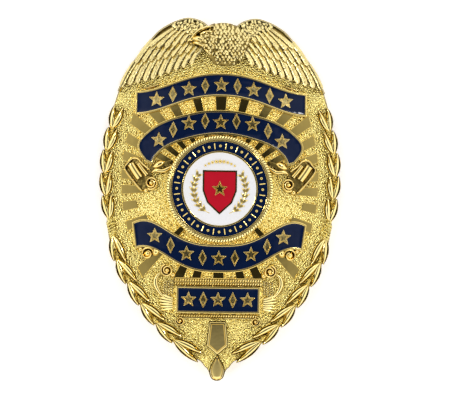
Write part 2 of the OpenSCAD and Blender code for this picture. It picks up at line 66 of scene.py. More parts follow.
SEAL_Y, SEAL_R, RING_R, FIELD_R, SEAL_T = 2.5, 12.1, 10.8, 8.2, 1.7
SEAL_CENTRE = Vector((0, SEAL_Y))
SEAT_Z = CROWN_H - 1.0
SEAL_TOP = SEAT_Z + 0.05 + SEAL_T
SEAL_FACE = SEAL_TOP - 0.35
CELL_FLOOR = SEAL_FACE - 0.6
WALL_W = 0.35
CREST_W = 7.0
SPRAY_R, ARC_R, RING_STUDS, SEAL_TWISTS = 5.9, 6.2, 24, 120

PANEL_W, PANEL_H, PANEL_Y = 18.0, 5.2, -22.5
ROPE_W, ROPE_RISE, TWIST_PITCH = 0.95, 0.65, 0.56

LEAF_L, LEAF_W, LEAF_RISE, TIE_Y, TIE_L, BRANCH_INSET = 5.6, 1.75, 1.3, -7.3, 4.4, 1.2
WING_LIFT, FEATHER_RISE, FEATHER_BOW, EAGLE_RISE = 0.9, 0.55, 0.22, 2.4
SCALE_PITCH, COVERT_PITCH = 0.86, 0.72
KEYSTONE_L, KEYSTONE_W, DROP_L, DROP_W, TIP_RISE = 7.3, 4.6, 5.7, 3.2, 1.5
PIN_SPAN, PIN_Y, PIN_D, PIN_BLOCK_L, PIN_BLOCK_W, PIN_CLEAR = 20.0, 12.0, 0.9, 4.4, 4.0, 0.5
PAD_Z, PAD_T = 2.9, 1.75

# Right half of the outline, from the crown to the tip: shares of half the width and height
EDGE = [
    (0.000, 0.975), (0.060, 0.972), (0.122, 0.955), (0.185, 0.985), (0.285, 1.000), (0.375, 0.985),
    (0.462, 0.957), (0.536, 0.922), (0.618, 0.858), (0.697, 0.792), (0.766, 0.726), (0.816, 0.661),
    (0.862, 0.592), (0.905, 0.495), (0.945, 0.397), (0.975, 0.310), (0.995, 0.215), (1.000, 0.110),
    (0.988, 0.020), (0.980, -0.060), (0.945, -0.140), (0.918, -0.230), (0.890, -0.330), (0.835, -0.405),
    (0.765, -0.490), (0.690, -0.570), (0.610, -0.640), (0.520, -0.710), (0.420, -0.775), (0.315, -0.830),
    (0.215, -0.885), (0.105, -0.922), (0.072, -0.950), (0.047, -0.979), (0.000, -1.000),
]
# Points of the smooth outline from one row of EDGE to the next, and rows at which its forms change
EDGE_STEPS = 4
NOTCH, WING_END = 2, 12
# First and last rows where the wreath's leaves overhang the plate, above and below the tie
LEAFY = ((14, 19), (22, 30))

# Right half of the middle ribbon: degrees from straight up, inner and outer radius as shares of MIDDLE_R
MIDDLE = [
    (0, 0.705, 1.015), (12, 0.708, 1.026), (24, 0.730, 1.050), (35, 0.768, 1.102), (45, 0.825, 1.158),
    (54, 0.878, 1.200), (61, 0.912, 1.215), (66, 0.924, 1.155), (70.5, 0.920, 1.020),
]
# Rays on the right half: degrees from straight up, inner and outer end as shares of SEAL_R, and width as a
# share of RAY_ANGLE
RAYS = [
    (0, 1, 1.93, 1.3), (15, 1, 1.93, 1), (29.7, 1, 1.97, 1), (41.5, 1, 2.1, 1), (52, 1, 3, 1),
    (62, 1, 3, 1), (71.5, 1.6, 3, 1), (82, 1.55, 3, 1), (91, 1.3, 3, 1), (101, 1.57, 3, 1),
    (112.5, 1.45, 3, 1), (137, 1, 3, 1), (156, 1.33, 1.88, 1), (166, 1.31, 1.8, 1), (180, 1.3, 1.75, 1.3),
]

# Feather tiers of the right wing: tips, roots, number of feathers, height as a share of WING_LIFT
TIERS = [
    ([(0.262, 0.738), (0.560, 0.660), (0.832, 0.612)],
     [(0.150, 0.850), (0.430, 0.812), (0.722, 0.750)], 10, 1.15),
    ([(0.300, 0.803), (0.515, 0.767), (0.715, 0.745)],
     [(0.180, 0.900), (0.385, 0.880), (0.580, 0.872)], 8, 1.45),
    ([(0.285, 0.866), (0.465, 0.830), (0.598, 0.838)],
     [(0.180, 0.950), (0.280, 0.962), (0.385, 0.950)], 6, 1.75),
]
# Shares of a feather's length, closer together at its rounded end
FEATHER_STEPS = (0, 0.2, 0.4, 0.6, 0.75, 0.84, 0.89, 0.93, 0.96, 0.98, 0.992, 1.0)
FEATHER_END = 0.86
EAGLE_BODY = [
    (-0.152, 0.945), (-0.086, 0.962), (0.000, 0.974), (0.080, 0.966), (0.142, 0.953), (0.230, 0.927),
    (0.248, 0.872), (0.199, 0.822), (0.159, 0.761), (0.085, 0.738), (0.000, 0.735), (-0.073, 0.753),
    (-0.124, 0.808), (-0.158, 0.868),
]
EAGLE_HEAD = [
    (-0.287, 0.869), (-0.225, 0.889), (-0.184, 0.917), (-0.143, 0.934), (-0.085, 0.943), (-0.034, 0.880),
    (-0.074, 0.775), (-0.124, 0.808), (-0.166, 0.840), (-0.224, 0.856),
]
TAIL = [(0.680, 0.222), (0.780, 0.175), (0.625, 0.030), (0.560, 0.150)]
TAIL_STRIP = [(0.570, 0.180), (0.600, 0.135), (0.420, 0.190), (0.400, 0.218)]
KEYSTONE = [(0.38, 0.00), (0.50, 0.73), (0.00, 1.00)]
DROP = [(0, 1), (0.19, 0.80), (0.41, 0.58), (0.50, 0.36), (0.41, 0.14), (0.22, 0.03), (0, 0)]
CREST = [(0, 0.55), (0.5, 0.55), (0.5, -0.05), (0.36, -0.42), (0, -0.75)]
# Scrolls at the ribbons' ends: place, start of the spiral in degrees, radius, turns, radius of the middle
# dome, and lesser domes beside it by place from the middle, radius and height
SCROLLS = [
    ((0.568, 0.088), 150, CURL_R, 1.6, 0.62, [((1.2, -1.7), 0.6, 0.8)]),
    ((0.590, -0.298), 280, CURL_R, 1.2, 0.80, [((-1.8, 0.35), 0.85, 0.95), ((1.6, 0.9), 0.6, 0.8)]),
    ((0.425, -0.388), 20, 1.7, 1.5, 0.66, [((-1.3, -1.0), 0.6, 0.8)]),
    ((0.312, -0.664), 90, 1.25, 1.3, 0.5, []),
]
# Folds of the middle ribbon's end and the flame beside it: route, half width, height, taper of the ends,
# steps between two points
FOLDS = [
    ([(15.7, 6.5), (17.3, 7.7), (18.6, 9.0), (19.8, 9.1), (20.7, 8.2), (21.5, 7.0), (20.7, 5.5),
      (19.0, 3.4), (17.4, 1.7)], 0.34, 1.1, 0.1, 5),
    ([(18.0, 4.6), (19.3, 6.4), (20.3, 8.0)], 0.98, 1.5, 0.2, 8),
    ([(16.4, 5.3), (17.5, 6.6), (18.6, 8.1)], 0.62, 1.15, 0.2, 8),
    ([(15.5, 5.9), (14.6, 6.5), (13.0, 6.4), (11.6, 7.0), (10.5, 7.9)], 0.55, 0.9, 0.9, 5),
    ([(15.2, 7.2), (14.2, 7.7), (13.4, 8.1), (12.6, 8.3)], 0.75, 0.95, 0.9, 5),
]
SIDE_SCROLL = [(12.9, -16.4), (14.0, -17.5), (14.2, -19.2), (13.3, -21.0), (11.8, -22.4)]
# A pair of leaves: side with 1 towards the middle, length as a share of LEAF_L, distance of the tip from
# the branch as a share of LEAF_W
UPPER_PAIR = [(1, 0.92, 0.70), (-1, 0.92, 0.47)]
LOWER_PAIR = [(1, 1.14, 1.05), (-1, 1.00, 0.49)]
LAST_PAIR = [(1, 1.14 * 1.08, 1.05), (-1, 1.28, 0.23)]
# The wreath's runs from the tie: direction, step as a share of LEAF_L, pairs of leaves
RUNS = [(-1, 0.92, [UPPER_PAIR] * 5), (1, 1.0, [LOWER_PAIR] * 5 + [LAST_PAIR])]
# A leaf's bow and its width as a share of LEAF_W, by side, and the distance of its root from the branch
LEAF_BOW, LEAF_BREADTH, ROOT_OUT = {1: 0.12, -1: 0.14}, {1: 1.16, -1: 1.05}, 0.12


def symmetric(half):
    """A whole cross-section from its left half, which ends in the middle."""
    return half + [(-across, height) for across, height in half[-2::-1]]


# Cross-sections of raised strips: place across from -1 to 1, height as a share of the strip's rise
HALF_ROUND = symmetric([(-1, 0.0), (-0.92, 0.40), (-0.7, 0.74), (-0.35, 0.95), (0, 1.0)])
SMALL_ROUND = HALF_ROUND[::2]
LEAF_SECTION = symmetric([(-1, 0.1), (-0.98, 0.6), (-0.9, 0.74), (-0.82, 0.68), (-0.74, 0.26), (-0.64, 0.26),
                          (-0.52, 0.74), (-0.25, 0.95), (0, 1.0)])
DROP_SECTION = symmetric([(-1, 0.0), (-0.95, 0.1), (-0.92, 0.75), (-0.86, 0.92), (-0.76, 0.92),
                          (-0.70, 0.78), (-0.5, 0.83), (0, 0.86)])
# A wing's edge, which falls away steeply on its outer side
RIM_SECTION = [(-1, 0.0), (-0.8, 0.6), (-0.3, 0.94), (0.2, 1.0), (0.52, 0.82), (0.66, 0.2), (1, 0.0)]
# A feather slopes outwards, with a fine shaft down its middle
FEATHER_SECTION = [
    (-1, 0.0), (-0.93, 0.5), (-0.86, 0.94), (-0.7, 1.0), (-0.2, 0.88), (-0.06, 0.96), (0.06, 0.94),
    (0.2, 0.78), (0.7, 0.64), (0.88, 0.56), (0.95, 0.3), (1, 0.0),
]


def face_height(x, y):
    """Height of the domed face above the rest plane."""
    across = SPINE_R - SIDE_R + math.sqrt(SIDE_R**2 - x * x)
    return CROWN_H - SPINE_R + math.sqrt(across**2 - y * y)


def from_shares(rows):
    """Points from shares of half the width and height."""
    return [Vector((x * HALF_W, y * HALF_H)) for x, y in rows]


def flow(points, steps):
    """A smooth curve through points, with both ends kept."""
    last = len(points) - 1
    curve = []
    for i in range(last):
        a, b, c, d = (points[min(max(k, 0), last)] for k in range(i - 1, i + 3))
        for t in (s / steps for s in range(steps)):
            curve.append(0.5 * (2 * b + (c - a) * t + (2 * a - 5 * b + 4 * c - d) * t * t
                                + (3 * b - a - 3 * c + d) * t**3))
    return curve + [points[last]]


def mirrored(points):
    return [Vector((-p.x, p.y)) for p in points]


def closed(half):
    """A whole outline from its right half, which runs from the top to the bottom on the middle line."""
    return half + mirrored(half[-2:0:-1])


def polar(radius, degrees):
    """A point at an angle from straight up, clockwise."""
    return Vector((radius * math.sin(math.radians(degrees)), radius * math.cos(math.radians(degrees))))


def inset(points, margin):
    """A clockwise outline moved inwards."""
    moved = []
    for i, p in enumerate(points):
        before, after = p - points[i - 1], points[(i + 1) % len(points)] - p
        mid = Vector((before.y, -before.x)).normalized() + Vector((after.y, -after.x)).normalized()
        moved.append(p + mid * margin * 2 / max(mid.length_squared, 1))
    return moved


def shares(steps):
    """Equal steps from 0 to 1, with both ends."""
    return [i / steps for i in range(steps + 1)]


def distances(points):
    """Each point's distance from the first, along the line."""
    at = [0.0]
    for a, b in zip(points, points[1:]):
        at.append(at[-1] + (b - a).length)
    return at


def point_at(points, at, s):
    """The point at a distance along a line. at holds the distances of the line's own points."""
    k = max(j for j in range(len(points) - 1) if at[j] <= s + 1e-9)
    return points[k].lerp(points[k + 1], (s - at[k]) / (at[k + 1] - at[k]))


def along(points, count):
    """Points at equal steps along a line."""
    at = distances(points)
    return [point_at(points, at, at[-1] * t) for t in shares(count - 1)]


def distance_to(outline, p):
    """Distance from a point to a closed outline."""
    best = 1e9
    for i, b in enumerate(outline):
        a = outline[i - 1]
        t = min(max((p - a).dot(b - a) / max((b - a).length_squared, 1e-12), 0), 1)
        best = min(best, (p - a.lerp(b, t)).length)
    return best


OUTLINE_HALF = (flow(from_shares(EDGE[: NOTCH + 1]), EDGE_STEPS)[:-1]
                + flow(from_shares(EDGE[NOTCH:]), EDGE_STEPS))
OUTLINE = closed(OUTLINE_HALF)


def plate_margin(i):
    """How far the plate stays inside the outline at one of its points: further under the leaves."""
    row = min(i, len(OUTLINE) - i) / EDGE_STEPS
    for first, last in LEAFY:
        cover = min(row - first, last - row)
        if cover >= -0.5:
            return LEAF_REACH
        if cover >= -1:
            return BARE_MARGIN + (LEAF_REACH - BARE_MARGIN) * 2 * (cover + 1)
    return BARE_MARGIN


PLATE_OUTLINE = [p.lerp(q, plate_margin(i)) for i, (p, q) in enumerate(zip(OUTLINE, inset(OUTLINE, 1)))]


def shrunk(margin):
    """The outline scaled down, to leave a margin."""
    return [Vector((p.x * (1 - margin / HALF_W), p.y * (1 - margin / HALF_H))) for p in OUTLINE]


def flat_face(bm, points, z=0.0):
    """A flat face that looks up."""
    face = bm.faces.new([bm.verts.new((p[0], p[1], z)) for p in points])
    face.normal_update()
    if face.normal.z < 0:
        face.normal_flip()
    return face


def verts_of(geom):
    return [g for g in geom if isinstance(g, bmesh.types.BMVert)]


def edges_of(geom):
    return [g for g in geom if isinstance(g, bmesh.types.BMEdge)]


def thicken(bm, face, height):
    """Extrudes a flat face up, or down by a negative height. Returns the moved face, and the first stays."""
    made = bmesh.ops.extrude_face_region(bm, geom=[face])["geom"]
    bmesh.ops.translate(bm, verts=verts_of(made), vec=(0, 0, height))
    return next(g for g in made if isinstance(g, bmesh.types.BMFace))


def slab(bm, outline, low, high):
    """A solid with a flat top over an outline. Returns the top."""
    return thicken(bm, flat_face(bm, outline, low), high - low)


def top_face(bm):
    """The largest of the highest faces."""
    return max(bm.faces, key=lambda f: (round(f.calc_center_median().z, 4), f.calc_area()))


def sink_middle(bm, face, rim, slope, depth):
    """Leaves a flat rim round a face and lowers what is inside it."""
    bmesh.ops.inset_individual(bm, faces=[face], thickness=rim, depth=0, use_even_offset=True)
    bmesh.ops.inset_individual(bm, faces=[face], thickness=slope, depth=-depth, use_even_offset=True)


def soften(bm, edges, size, segments=2):
    """Rounds edges over."""
    bmesh.ops.bevel(bm, geom=list(edges), offset=size, offset_type="OFFSET", segments=segments, profile=0.5,
                    affect="EDGES", material=-1, clamp_overlap=True)


def rims_at(bm, height):
    """The sharp edges that lie at a height."""
    level = [e for e in bm.edges if all(abs(v.co.z - height) < 1e-4 for v in e.verts)]
    return [e for e in level if e.calc_face_angle(0) > 0.5]


def slice_up(bm, step_x=0.0, step_y=0.0):
    """Cuts a mesh by parallel planes, so that it can follow the dome."""
    for axis, step in ((0, step_x), (1, step_y)):
        if not step:
            continue
        spread = [v.co[axis] for v in bm.verts]
        low, high = min(spread), max(spread)
        normal = (1, 0, 0) if axis == 0 else (0, 1, 0)
        for i in range(1, math.ceil((high - low) / step)):
            at = [0, 0, 0]
            at[axis] = low + i * step
            bmesh.ops.bisect_plane(bm, geom=bm.verts[:] + bm.edges[:] + bm.faces[:], dist=1e-4, plane_co=at,
                                   plane_no=normal)


def drape(bm):
    """Moves a mesh that was made flat onto the domed face."""
    for v in bm.verts:
        v.co.z += face_height(v.co.x, v.co.y)


def both_sides(bm):
    """Adds the mirror image of everything made so far."""
    twin = bmesh.ops.duplicate(bm, geom=bm.verts[:] + bm.edges[:] + bm.faces[:])["geom"]
    bmesh.ops.scale(bm, verts=verts_of(twin), vec=(-1, 1, 1))
    bmesh.ops.reverse_faces(bm, faces=[g for g in twin if isinstance(g, bmesh.types.BMFace)])


def swell(size, start=0.0, span=1.0, base=0.0):
    """A size that rises and falls along a path, as a stretch of a sine."""
    return lambda t: base + size * math.sin(math.pi * (start + span * t))


# Height in a strip's section, as a share of its rise, below which the golds are painted darker as shade
GAP_TOP = 0.6


def strip(bm, path, half_width, section, lift, rise, foot=FOOT):
    """A raised strip along a path, closed below.

    half_width, lift and rise are each a number or a function of the share of the path.
    """
    width_at, lift_at, rise_at = (v if callable(v) else lambda t, v=v: v for v in (half_width, lift, rise))
    rows, columns = len(path), len(section)
    painted_shade = bm.verts.layers.float.get("painted_shade") or bm.verts.layers.float.new("painted_shade")
    made = bmesh.ops.create_grid(bm, x_segments=rows - 1, y_segments=columns - 1, size=1)["verts"]
    normals = []
    for i in range(rows):
        run = path[min(i + 1, rows - 1)] - path[max(i - 1, 0)]
        normals.append(Vector((-run.y, run.x)).normalized())
    for v in made:
        i = round((v.co.x + 1) / 2 * (rows - 1))
        j = round((v.co.y + 1) / 2 * (columns - 1))
        t = i / (rows - 1)
        across, height = section[j]
        place = path[i] + normals[i] * width_at(t) * across
        v.co = (place.x, place.y, lift_at(t) + rise_at(t) * height)
        # Painted shade: the lower a point of the section, the darker its gold
        v[painted_shade] = max(0.0, 1 - height / GAP_TOP)
    bmesh.ops.remove_doubles(bm, verts=made, dist=0.004)
    rim = list({e for v in made if v.is_valid for e in v.link_edges if e.is_boundary})
    low = bmesh.ops.extrude_edge_only(bm, edges=rim)["geom"]
    # The foot is painted fully in shade
    for v in verts_of(low):
        v.co.z = -foot
        v[painted_shade] = 1.0
    bmesh.ops.contextual_create(bm, geom=edges_of(low))


def pillow(bm, outline, height, step=0.8):
    """A solid with a rounded top over an outline. height is a function of a point."""
    flat_face(bm, outline)
    slice_up(bm, step, step)
    for v in bm.verts:
        v.co.z = height(v.co.xy)
    low = bmesh.ops.extrude_edge_only(bm, edges=[e for e in bm.edges if e.is_boundary])["geom"]
    for v in verts_of(low):
        v.co.z = -FOOT
    bmesh.ops.contextual_create(bm, geom=edges_of(low))


def join(bm, part):
    """Adds one mesh to another."""
    mesh = bpy.data.meshes.new("part")
    part.to_mesh(mesh)
    part.free()
    bm.from_mesh(mesh)
    bpy.data.meshes.remove(mesh)


def dome(bm, place, radius, height, base, around=20, up=10):
    """A round boss whose middle lies at the height base."""
    part = bmesh.new()
    bmesh.ops.create_uvsphere(part, u_segments=around, v_segments=up, radius=radius)
    bmesh.ops.scale(part, verts=part.verts, vec=(1, 1, height / radius))
    bmesh.ops.translate(part, verts=part.verts, vec=(place.x, place.y, base))
    join(bm, part)


def pebble(bm, place, lean, width, base, rise):
    """A small overlapping scale, highest at its free end."""
    strip(bm, [place + lean * t for t in (-1, -0.5, 0, 0.5, 0.85, 1)],
          lambda t: width * math.sqrt(max(1 - (2 * t - 1) ** 2 * 0.97, 0)), SMALL_ROUND,
          base - 0.05, lambda t: 0.12 + rise * t, foot=FOOT - base)


def finish_piece(name, bm, material, crease=38, replaces=()):
    """Turns a mesh in millimetres into a piece of the badge."""
    bmesh.ops.recalc_face_normals(bm, faces=bm.faces)
    bmesh.ops.scale(bm, verts=bm.verts, vec=(MM, MM, MM))
    for f in bm.faces:
        f.smooth = True
    for e in bm.edges:
        e.smooth = e.calc_face_angle(0.0) < math.radians(crease)
    mesh = bpy.data.meshes.new(name)
    bm.to_mesh(mesh)
    bm.free()
    for m in material if isinstance(material, list) else [material]:
        mesh.materials.append(m)
    piece = bpy.data.objects.new(name, mesh)
    bpy.context.scene.collection.objects.link(piece)
    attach(piece, "root")
    if replaces:
        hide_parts(*replaces)


def finish_pair(name, bm, material, crease=38):
    """Lays a piece made flat on the right side onto the face, mirrors it and finishes it."""
    drape(bm)
    both_sides(bm)
    finish_piece(name, bm, material, crease=crease)


# Shader node groups


def new_group(name, inputs, outputs):
    """A node group with the values that it takes and gives. Returns its tree and the two end nodes."""
    tree = bpy.data.node_groups.new(name, "ShaderNodeTree")
    for label, value in inputs:
        tree.interface.new_socket(label, in_out="INPUT", socket_type="NodeSocketFloat").default_value = value
    for label in outputs:
        tree.interface.new_socket(label, in_out="OUTPUT", socket_type="NodeSocketFloat")
    return tree, tree.nodes.new("NodeGroupInput"), tree.nodes.new("NodeGroupOutput")


def node(tree, kind, links=(), **values):
    """Adds a node. Each link pairs one of its sockets with a value or with another node's output."""
    made = tree.nodes.new(kind)
    for key, value in values.items():
        setattr(made, key, value)
    for socket, source in links:
        if isinstance(source, bpy.types.NodeSocket):
            tree.links.new(source, made.inputs[socket])
        else:
            made.inputs[socket].default_value = source
    return made


def make_stipple():
    """Close-set punched grains: their height, and a mask of the pits between them, where shade is painted."""
    tree, given, out = new_group("stipple", [("Grain", 2600.0), ("Coarse", 900.0)], ["Height", "Pits"])
    place = node(tree, "ShaderNodeTexCoord").outputs["Object"]
    cells = node(tree, "ShaderNodeTexVoronoi", [("Vector", place), ("Scale", given.outputs["Grain"])],
                 feature="F1")
    rough = node(tree, "ShaderNodeTexNoise", [("Vector", place), ("Scale", given.outputs["Coarse"]),
                                              ("Detail", 3.0)])
    height = node(tree, "ShaderNodeMath", [(0, 1.0), (1, cells.outputs["Distance"])], operation="SUBTRACT")
    both = node(tree, "ShaderNodeMath", [(0, rough.outputs["Fac"]), (1, 0.5), (2, height.outputs[0])],
                operation="MULTIPLY_ADD")
    pits = node(tree, "ShaderNodeMapRange", [("Value", cells.outputs["Distance"]), ("From Min", 0.45),
                                             ("From Max", 0.80)])
    tree.links.new(both.outputs[0], out.inputs["Height"])
    tree.links.new(pits.outputs[0], out.inputs["Pits"])
    return tree


def make_casting():
    """Soft unevenness of a cast and plated surface."""
    tree, given, out = new_group("casting", [("Scale", 500.0)], ["Height", "Cloud"])
    place = node(tree, "ShaderNodeTexCoord").outputs["Object"]
    wide = node(tree, "ShaderNodeTexNoise", [("Vector", place), ("Scale", given.outputs["Scale"]),
                                             ("Detail", 2.0)])
    tree.links.new(wide.outputs["Fac"], out.inputs["Height"])
    tree.links.new(wide.outputs["Fac"], out.inputs["Cloud"])
    return tree


STIPPLE, CASTING = make_stipple(), make_casting()


def new_material(name):
    material = bpy.data.materials.new(name)
    material.use_nodes = True
    return material, material.node_tree, material.node_tree.nodes["Principled BSDF"]


def use_group(tree, group, **values):
    """Places a node group in a material with values of its own."""
    made = tree.nodes.new("ShaderNodeGroup")
    made.node_tree = group
    for key, value in values.items():
        made.inputs[key].default_value = value
    return made


# Sockets of a Mix node that mixes colours
MIX_MASK, MIX_A, MIX_B, MIX_RESULT = 0, 6, 7, 2


def blend(tree, mask, low, high):
    """Mixes two colours by a mask. The first may be another node's output."""
    first = low if isinstance(low, bpy.types.NodeSocket) else (*low, 1)
    made = node(tree, "ShaderNodeMix", [(MIX_MASK, mask), (MIX_A, first), (MIX_B, (*high, 1))],
                data_type="RGBA")
    return made.outputs[MIX_RESULT]


def add_relief(tree, shader, height, strength, distance):
    """Lets a height roughen a material's surface. distance is in metres."""
    bump = node(tree, "ShaderNodeBump", [("Strength", strength), ("Distance", distance), ("Height", height)])
    tree.links.new(bump.outputs[0], shader.inputs["Normal"])


def polished_gold(name, colour, dark, roughness, scale, bump, painted_shade=(0.10, 0.06, 0.01)):
    """Bright metal, painted darker as shade where a piece marks its low parts."""
    material, tree, shader = new_material(name)
    cast = use_group(tree, CASTING, Scale=scale)
    # The mask of painted shade that the pieces carry
    low = node(tree, "ShaderNodeAttribute", attribute_name="painted_shade").outputs["Fac"]
    face = blend(tree, cast.outputs["Cloud"], dark, colour)
    tree.links.new(blend(tree, low, face, painted_shade), shader.inputs["Base Color"])
    shader.inputs["Metallic"].default_value = 1.0
    shader.inputs["Roughness"].default_value = roughness
    add_relief(tree, shader, cast.outputs["Height"], bump, 0.0002)
    return material


def stippled_gold(name, colour, pit_shade, roughness, grain, bump):
    """Punched metal with painted shade in the pits between its grains."""
    material, tree, shader = new_material(name)
    grains = use_group(tree, STIPPLE, Grain=grain, Coarse=grain * 0.4)
    tree.links.new(blend(tree, grains.outputs["Pits"], colour, pit_shade), shader.inputs["Base Color"])
    shader.inputs["Metallic"].default_value = 1.0
    shader.inputs["Roughness"].default_value = roughness
    add_relief(tree, shader, grains.outputs["Height"], bump, 0.0003)
    return material


def enamel(name, colour, deep):
    """Glossy colour, a little deeper in clouds."""
    material, tree, shader = new_material(name)
    cast = use_group(tree, CASTING, Scale=260.0)
    tree.links.new(blend(tree, cast.outputs["Cloud"], deep, colour), shader.inputs["Base Color"])
    shader.inputs["Roughness"].default_value = 0.05
    shader.inputs["Specular IOR Level"].default_value = 0.35
    add_relief(tree, shader, cast.outputs["Height"], 0.35, 0.0003)
    return material


# A gold's last colour, given or left at its default, is painted shade for the feet and grooves of raised
# strips
GOLD = polished_gold("polished_gold", (0.86, 0.66, 0.23), (0.78, 0.58, 0.18), 0.15, 700.0, 0.25,
                     (0.12, 0.08, 0.02))
LEAF_GOLD = polished_gold("leaf_gold", (0.93, 0.77, 0.32), (0.84, 0.67, 0.25), 0.11, 700.0, 0.3,
                          (0.14, 0.09, 0.02))
FLAT_GOLD = polished_gold("flat_gold", (0.72, 0.54, 0.16), (0.64, 0.47, 0.13), 0.05, 500.0, 0.08)
MIRROR_GOLD = polished_gold("mirror_gold", (0.84, 0.66, 0.25), (0.80, 0.61, 0.21), 0.06, 420.0, 0.12,
                            (0.07, 0.045, 0.01))
ROPE_GOLD = polished_gold("rope_gold", (0.97, 0.80, 0.34), (0.87, 0.70, 0.27), 0.22, 900.0, 0.3,
                          (0.46, 0.35, 0.11))
FEATHER_GOLD = polished_gold("feather_gold", (0.84, 0.71, 0.33), (0.62, 0.50, 0.20), 0.22, 1400.0, 0.8,
                             (0.26, 0.19, 0.055))
MOTIF_GOLD = polished_gold("motif_gold", (0.90, 0.72, 0.30), (0.80, 0.62, 0.24), 0.17, 900.0, 0.4,
                           (0.12, 0.085, 0.02))
BEAD_GOLD = polished_gold("bead_gold", (0.97, 0.80, 0.34), (0.87, 0.70, 0.27), 0.20, 900.0, 0.3,
                          (0.36, 0.26, 0.07))
SCALE_GOLD = polished_gold("scale_gold", (0.82, 0.69, 0.32), (0.62, 0.50, 0.20), 0.16, 1500.0, 0.8,
                           (0.06, 0.04, 0.01))
# Painted shade: a dark gold for beds and grounds that lie in shade under and between raised pieces
PAINTED_SHADE_GOLD = polished_gold("painted_shade_gold", (0.30, 0.22, 0.06), (0.16, 0.11, 0.03), 0.34, 900.0, 0.8)
# Painted shade for the ground between the feathers
WING_SHADE_GOLD = polished_gold("painted_wing_shade_gold", (0.34, 0.24, 0.065), (0.22, 0.15, 0.035), 0.38, 900.0, 0.8)
# The second colour is painted shade in the pits
GROUND = stippled_gold("stippled_gold", (1.0, 0.86, 0.32), (0.42, 0.30, 0.05), 0.16, 3200.0, 1.0)
BACK_GOLD = polished_gold("back_gold", (0.86, 0.62, 0.20), (0.72, 0.50, 0.14), 0.38, 400.0, 0.7)
NAVY = enamel("navy_enamel", (0.003, 0.0105, 0.044), (0.002, 0.007, 0.030))
WHITE = enamel("white_enamel", (0.84, 0.83, 0.84), (0.78, 0.77, 0.78))
RED = enamel("red_enamel", (0.50, 0.010, 0.025), (0.40, 0.007, 0.018))
NICKEL = polished_gold("nickel_plate", (0.72, 0.70, 0.64), (0.60, 0.58, 0.53), 0.28, 900.0, 0.3)


# The casting's plate, with its hollow back

# Materials: the punched face, the plain back and sides, and the slope at the face's foot, painted dark as
# shade
PLATE_METALS = [GROUND, BACK_GOLD, PAINTED_SHADE_GOLD]
ON_FACE, ON_BACK, ON_SLOPE = 0, 1, 2
SLOPE_W, SLOPE_DROP, HOLLOW_RINGS = 0.22, 0.3, 14


def make_plate():
    """A domed face with a steep slope at its foot, a flat rim and a hollow back."""
    bm = bmesh.new()
    face = flat_face(bm, PLATE_OUTLINE)
    slope = bmesh.ops.inset_individual(bm, faces=[face], thickness=SLOPE_W, depth=0, use_even_offset=False)
    # The slope takes the painted shade
    for f in slope["faces"]:
        f.material_index = ON_SLOPE
    for v in face.verts:
        v.co.z = 0.02
    slice_up(bm, 1.4, 1.4)
    for v in bm.verts:
        v.co.z = -SLOPE_DROP if v.co.z < 0.01 else 0.0
    drape(bm)

    def next_ring(edge, move):
        made = bmesh.ops.extrude_edge_only(bm, edges=edge)["geom"]
        for v in verts_of(made):
            v.co = move(v.co)
        return edges_of(made)

    def hollow(p, share):
        """A point of the hollow back's roof, above a share of the way from the middle to p."""
        x, y = p.x * share, p.y * share
        return Vector((x, y, max(face_height(x, y) - WALL_T, 0.02)))

    edge = [e for e in bm.edges if e.is_boundary]
    edge = next_ring(edge, lambda p: Vector((p.x, p.y, 0)))
    inner = (1 - (RIM_W - LEAF_REACH) / HALF_W, 1 - (RIM_W - LEAF_REACH) / HALF_H)
    edge = next_ring(edge, lambda p: Vector((p.x * inner[0], p.y * inner[1], 0)))
    edge = next_ring(edge, lambda p: hollow(p, 1))
    for i in range(HOLLOW_RINGS - 1, 0, -1):
        edge = next_ring(edge, lambda p: hollow(p, i / (i + 1)))
    centre = list({v for e in edge for v in e.verts})
    bmesh.ops.pointmerge(bm, verts=centre, merge_co=(0, 0, CROWN_H - WALL_T))
    bmesh.ops.recalc_face_normals(bm, faces=bm.faces)
    for f in bm.faces:
        if f.material_index != ON_SLOPE or f.normal.z < 0.3:
            f.material_index = ON_FACE if f.normal.z > 0.5 else ON_BACK
    finish_piece("casting_plate", bm, PLATE_METALS, replaces=["shield_body"])


def make_rays():
    """Flat polished rays round the seal, cut off short of the outline."""
    bm = bmesh.new()
    ends = shrunk(RAY_MARGIN)

    def reach(turn):
        """Distance from the seal's centre to the rays' ends along a direction."""
        way = polar(1, turn)
        for i, b in enumerate(ends):
            a = ends[i - 1]
            side_a, side_b = way.cross(a - SEAL_CENTRE), way.cross(b - SEAL_CENTRE)
            if side_a * side_b <= 0 and (a - SEAL_CENTRE).dot(way) > 0:
                hit = a.lerp(b, side_a / (side_a - side_b)) if side_a != side_b else a
                return (hit - SEAL_CENTRE).length
        return HALF_H

    for turn, start, end, width in RAYS:
        for side in (1, -1) if 0 < turn < 180 else (1,):
            low, high = side * turn - RAY_ANGLE * width / 2, side * turn + RAY_ANGLE * width / 2
            near, far = SEAL_R * start, SEAL_R * end
            corners = [polar(near, low), polar(min(far, reach(low)), low), polar(min(far, reach(high)), high),
                       polar(near, high)]
            part = bmesh.new()
            top = slab(part, [SEAL_CENTRE + c for c in corners], -0.4, RAY_LIFT)
            soften(part, top.edges, 0.07)
            slice_up(part, 2.0, 2.0)
            drape(part)
            join(bm, part)
    finish_piece("sunburst_rays", bm, FLAT_GOLD, crease=16)


# Ribbons and the panel


def wave(x, rise, turn, power):
    """How far a ribbon's line has risen at a place across. It turns back at the distance turn."""
    return rise * (1 - math.cos(math.pi * (abs(x) / turn) ** power)) / 2


def ribbon_outline(length, band, y, bend, slant=0.0, steps=22):
    """A waved ribbon. slant makes its upper edge longer than its lower one."""
    def side(sign):
        across = (length / 2 * (1 + sign * slant) * i / steps for i in range(-steps, steps + 1))
        return [Vector((x, y + sign * band / 2 + wave(x, *bend))) for x in across]

    return side(1) + side(-1)[::-1]


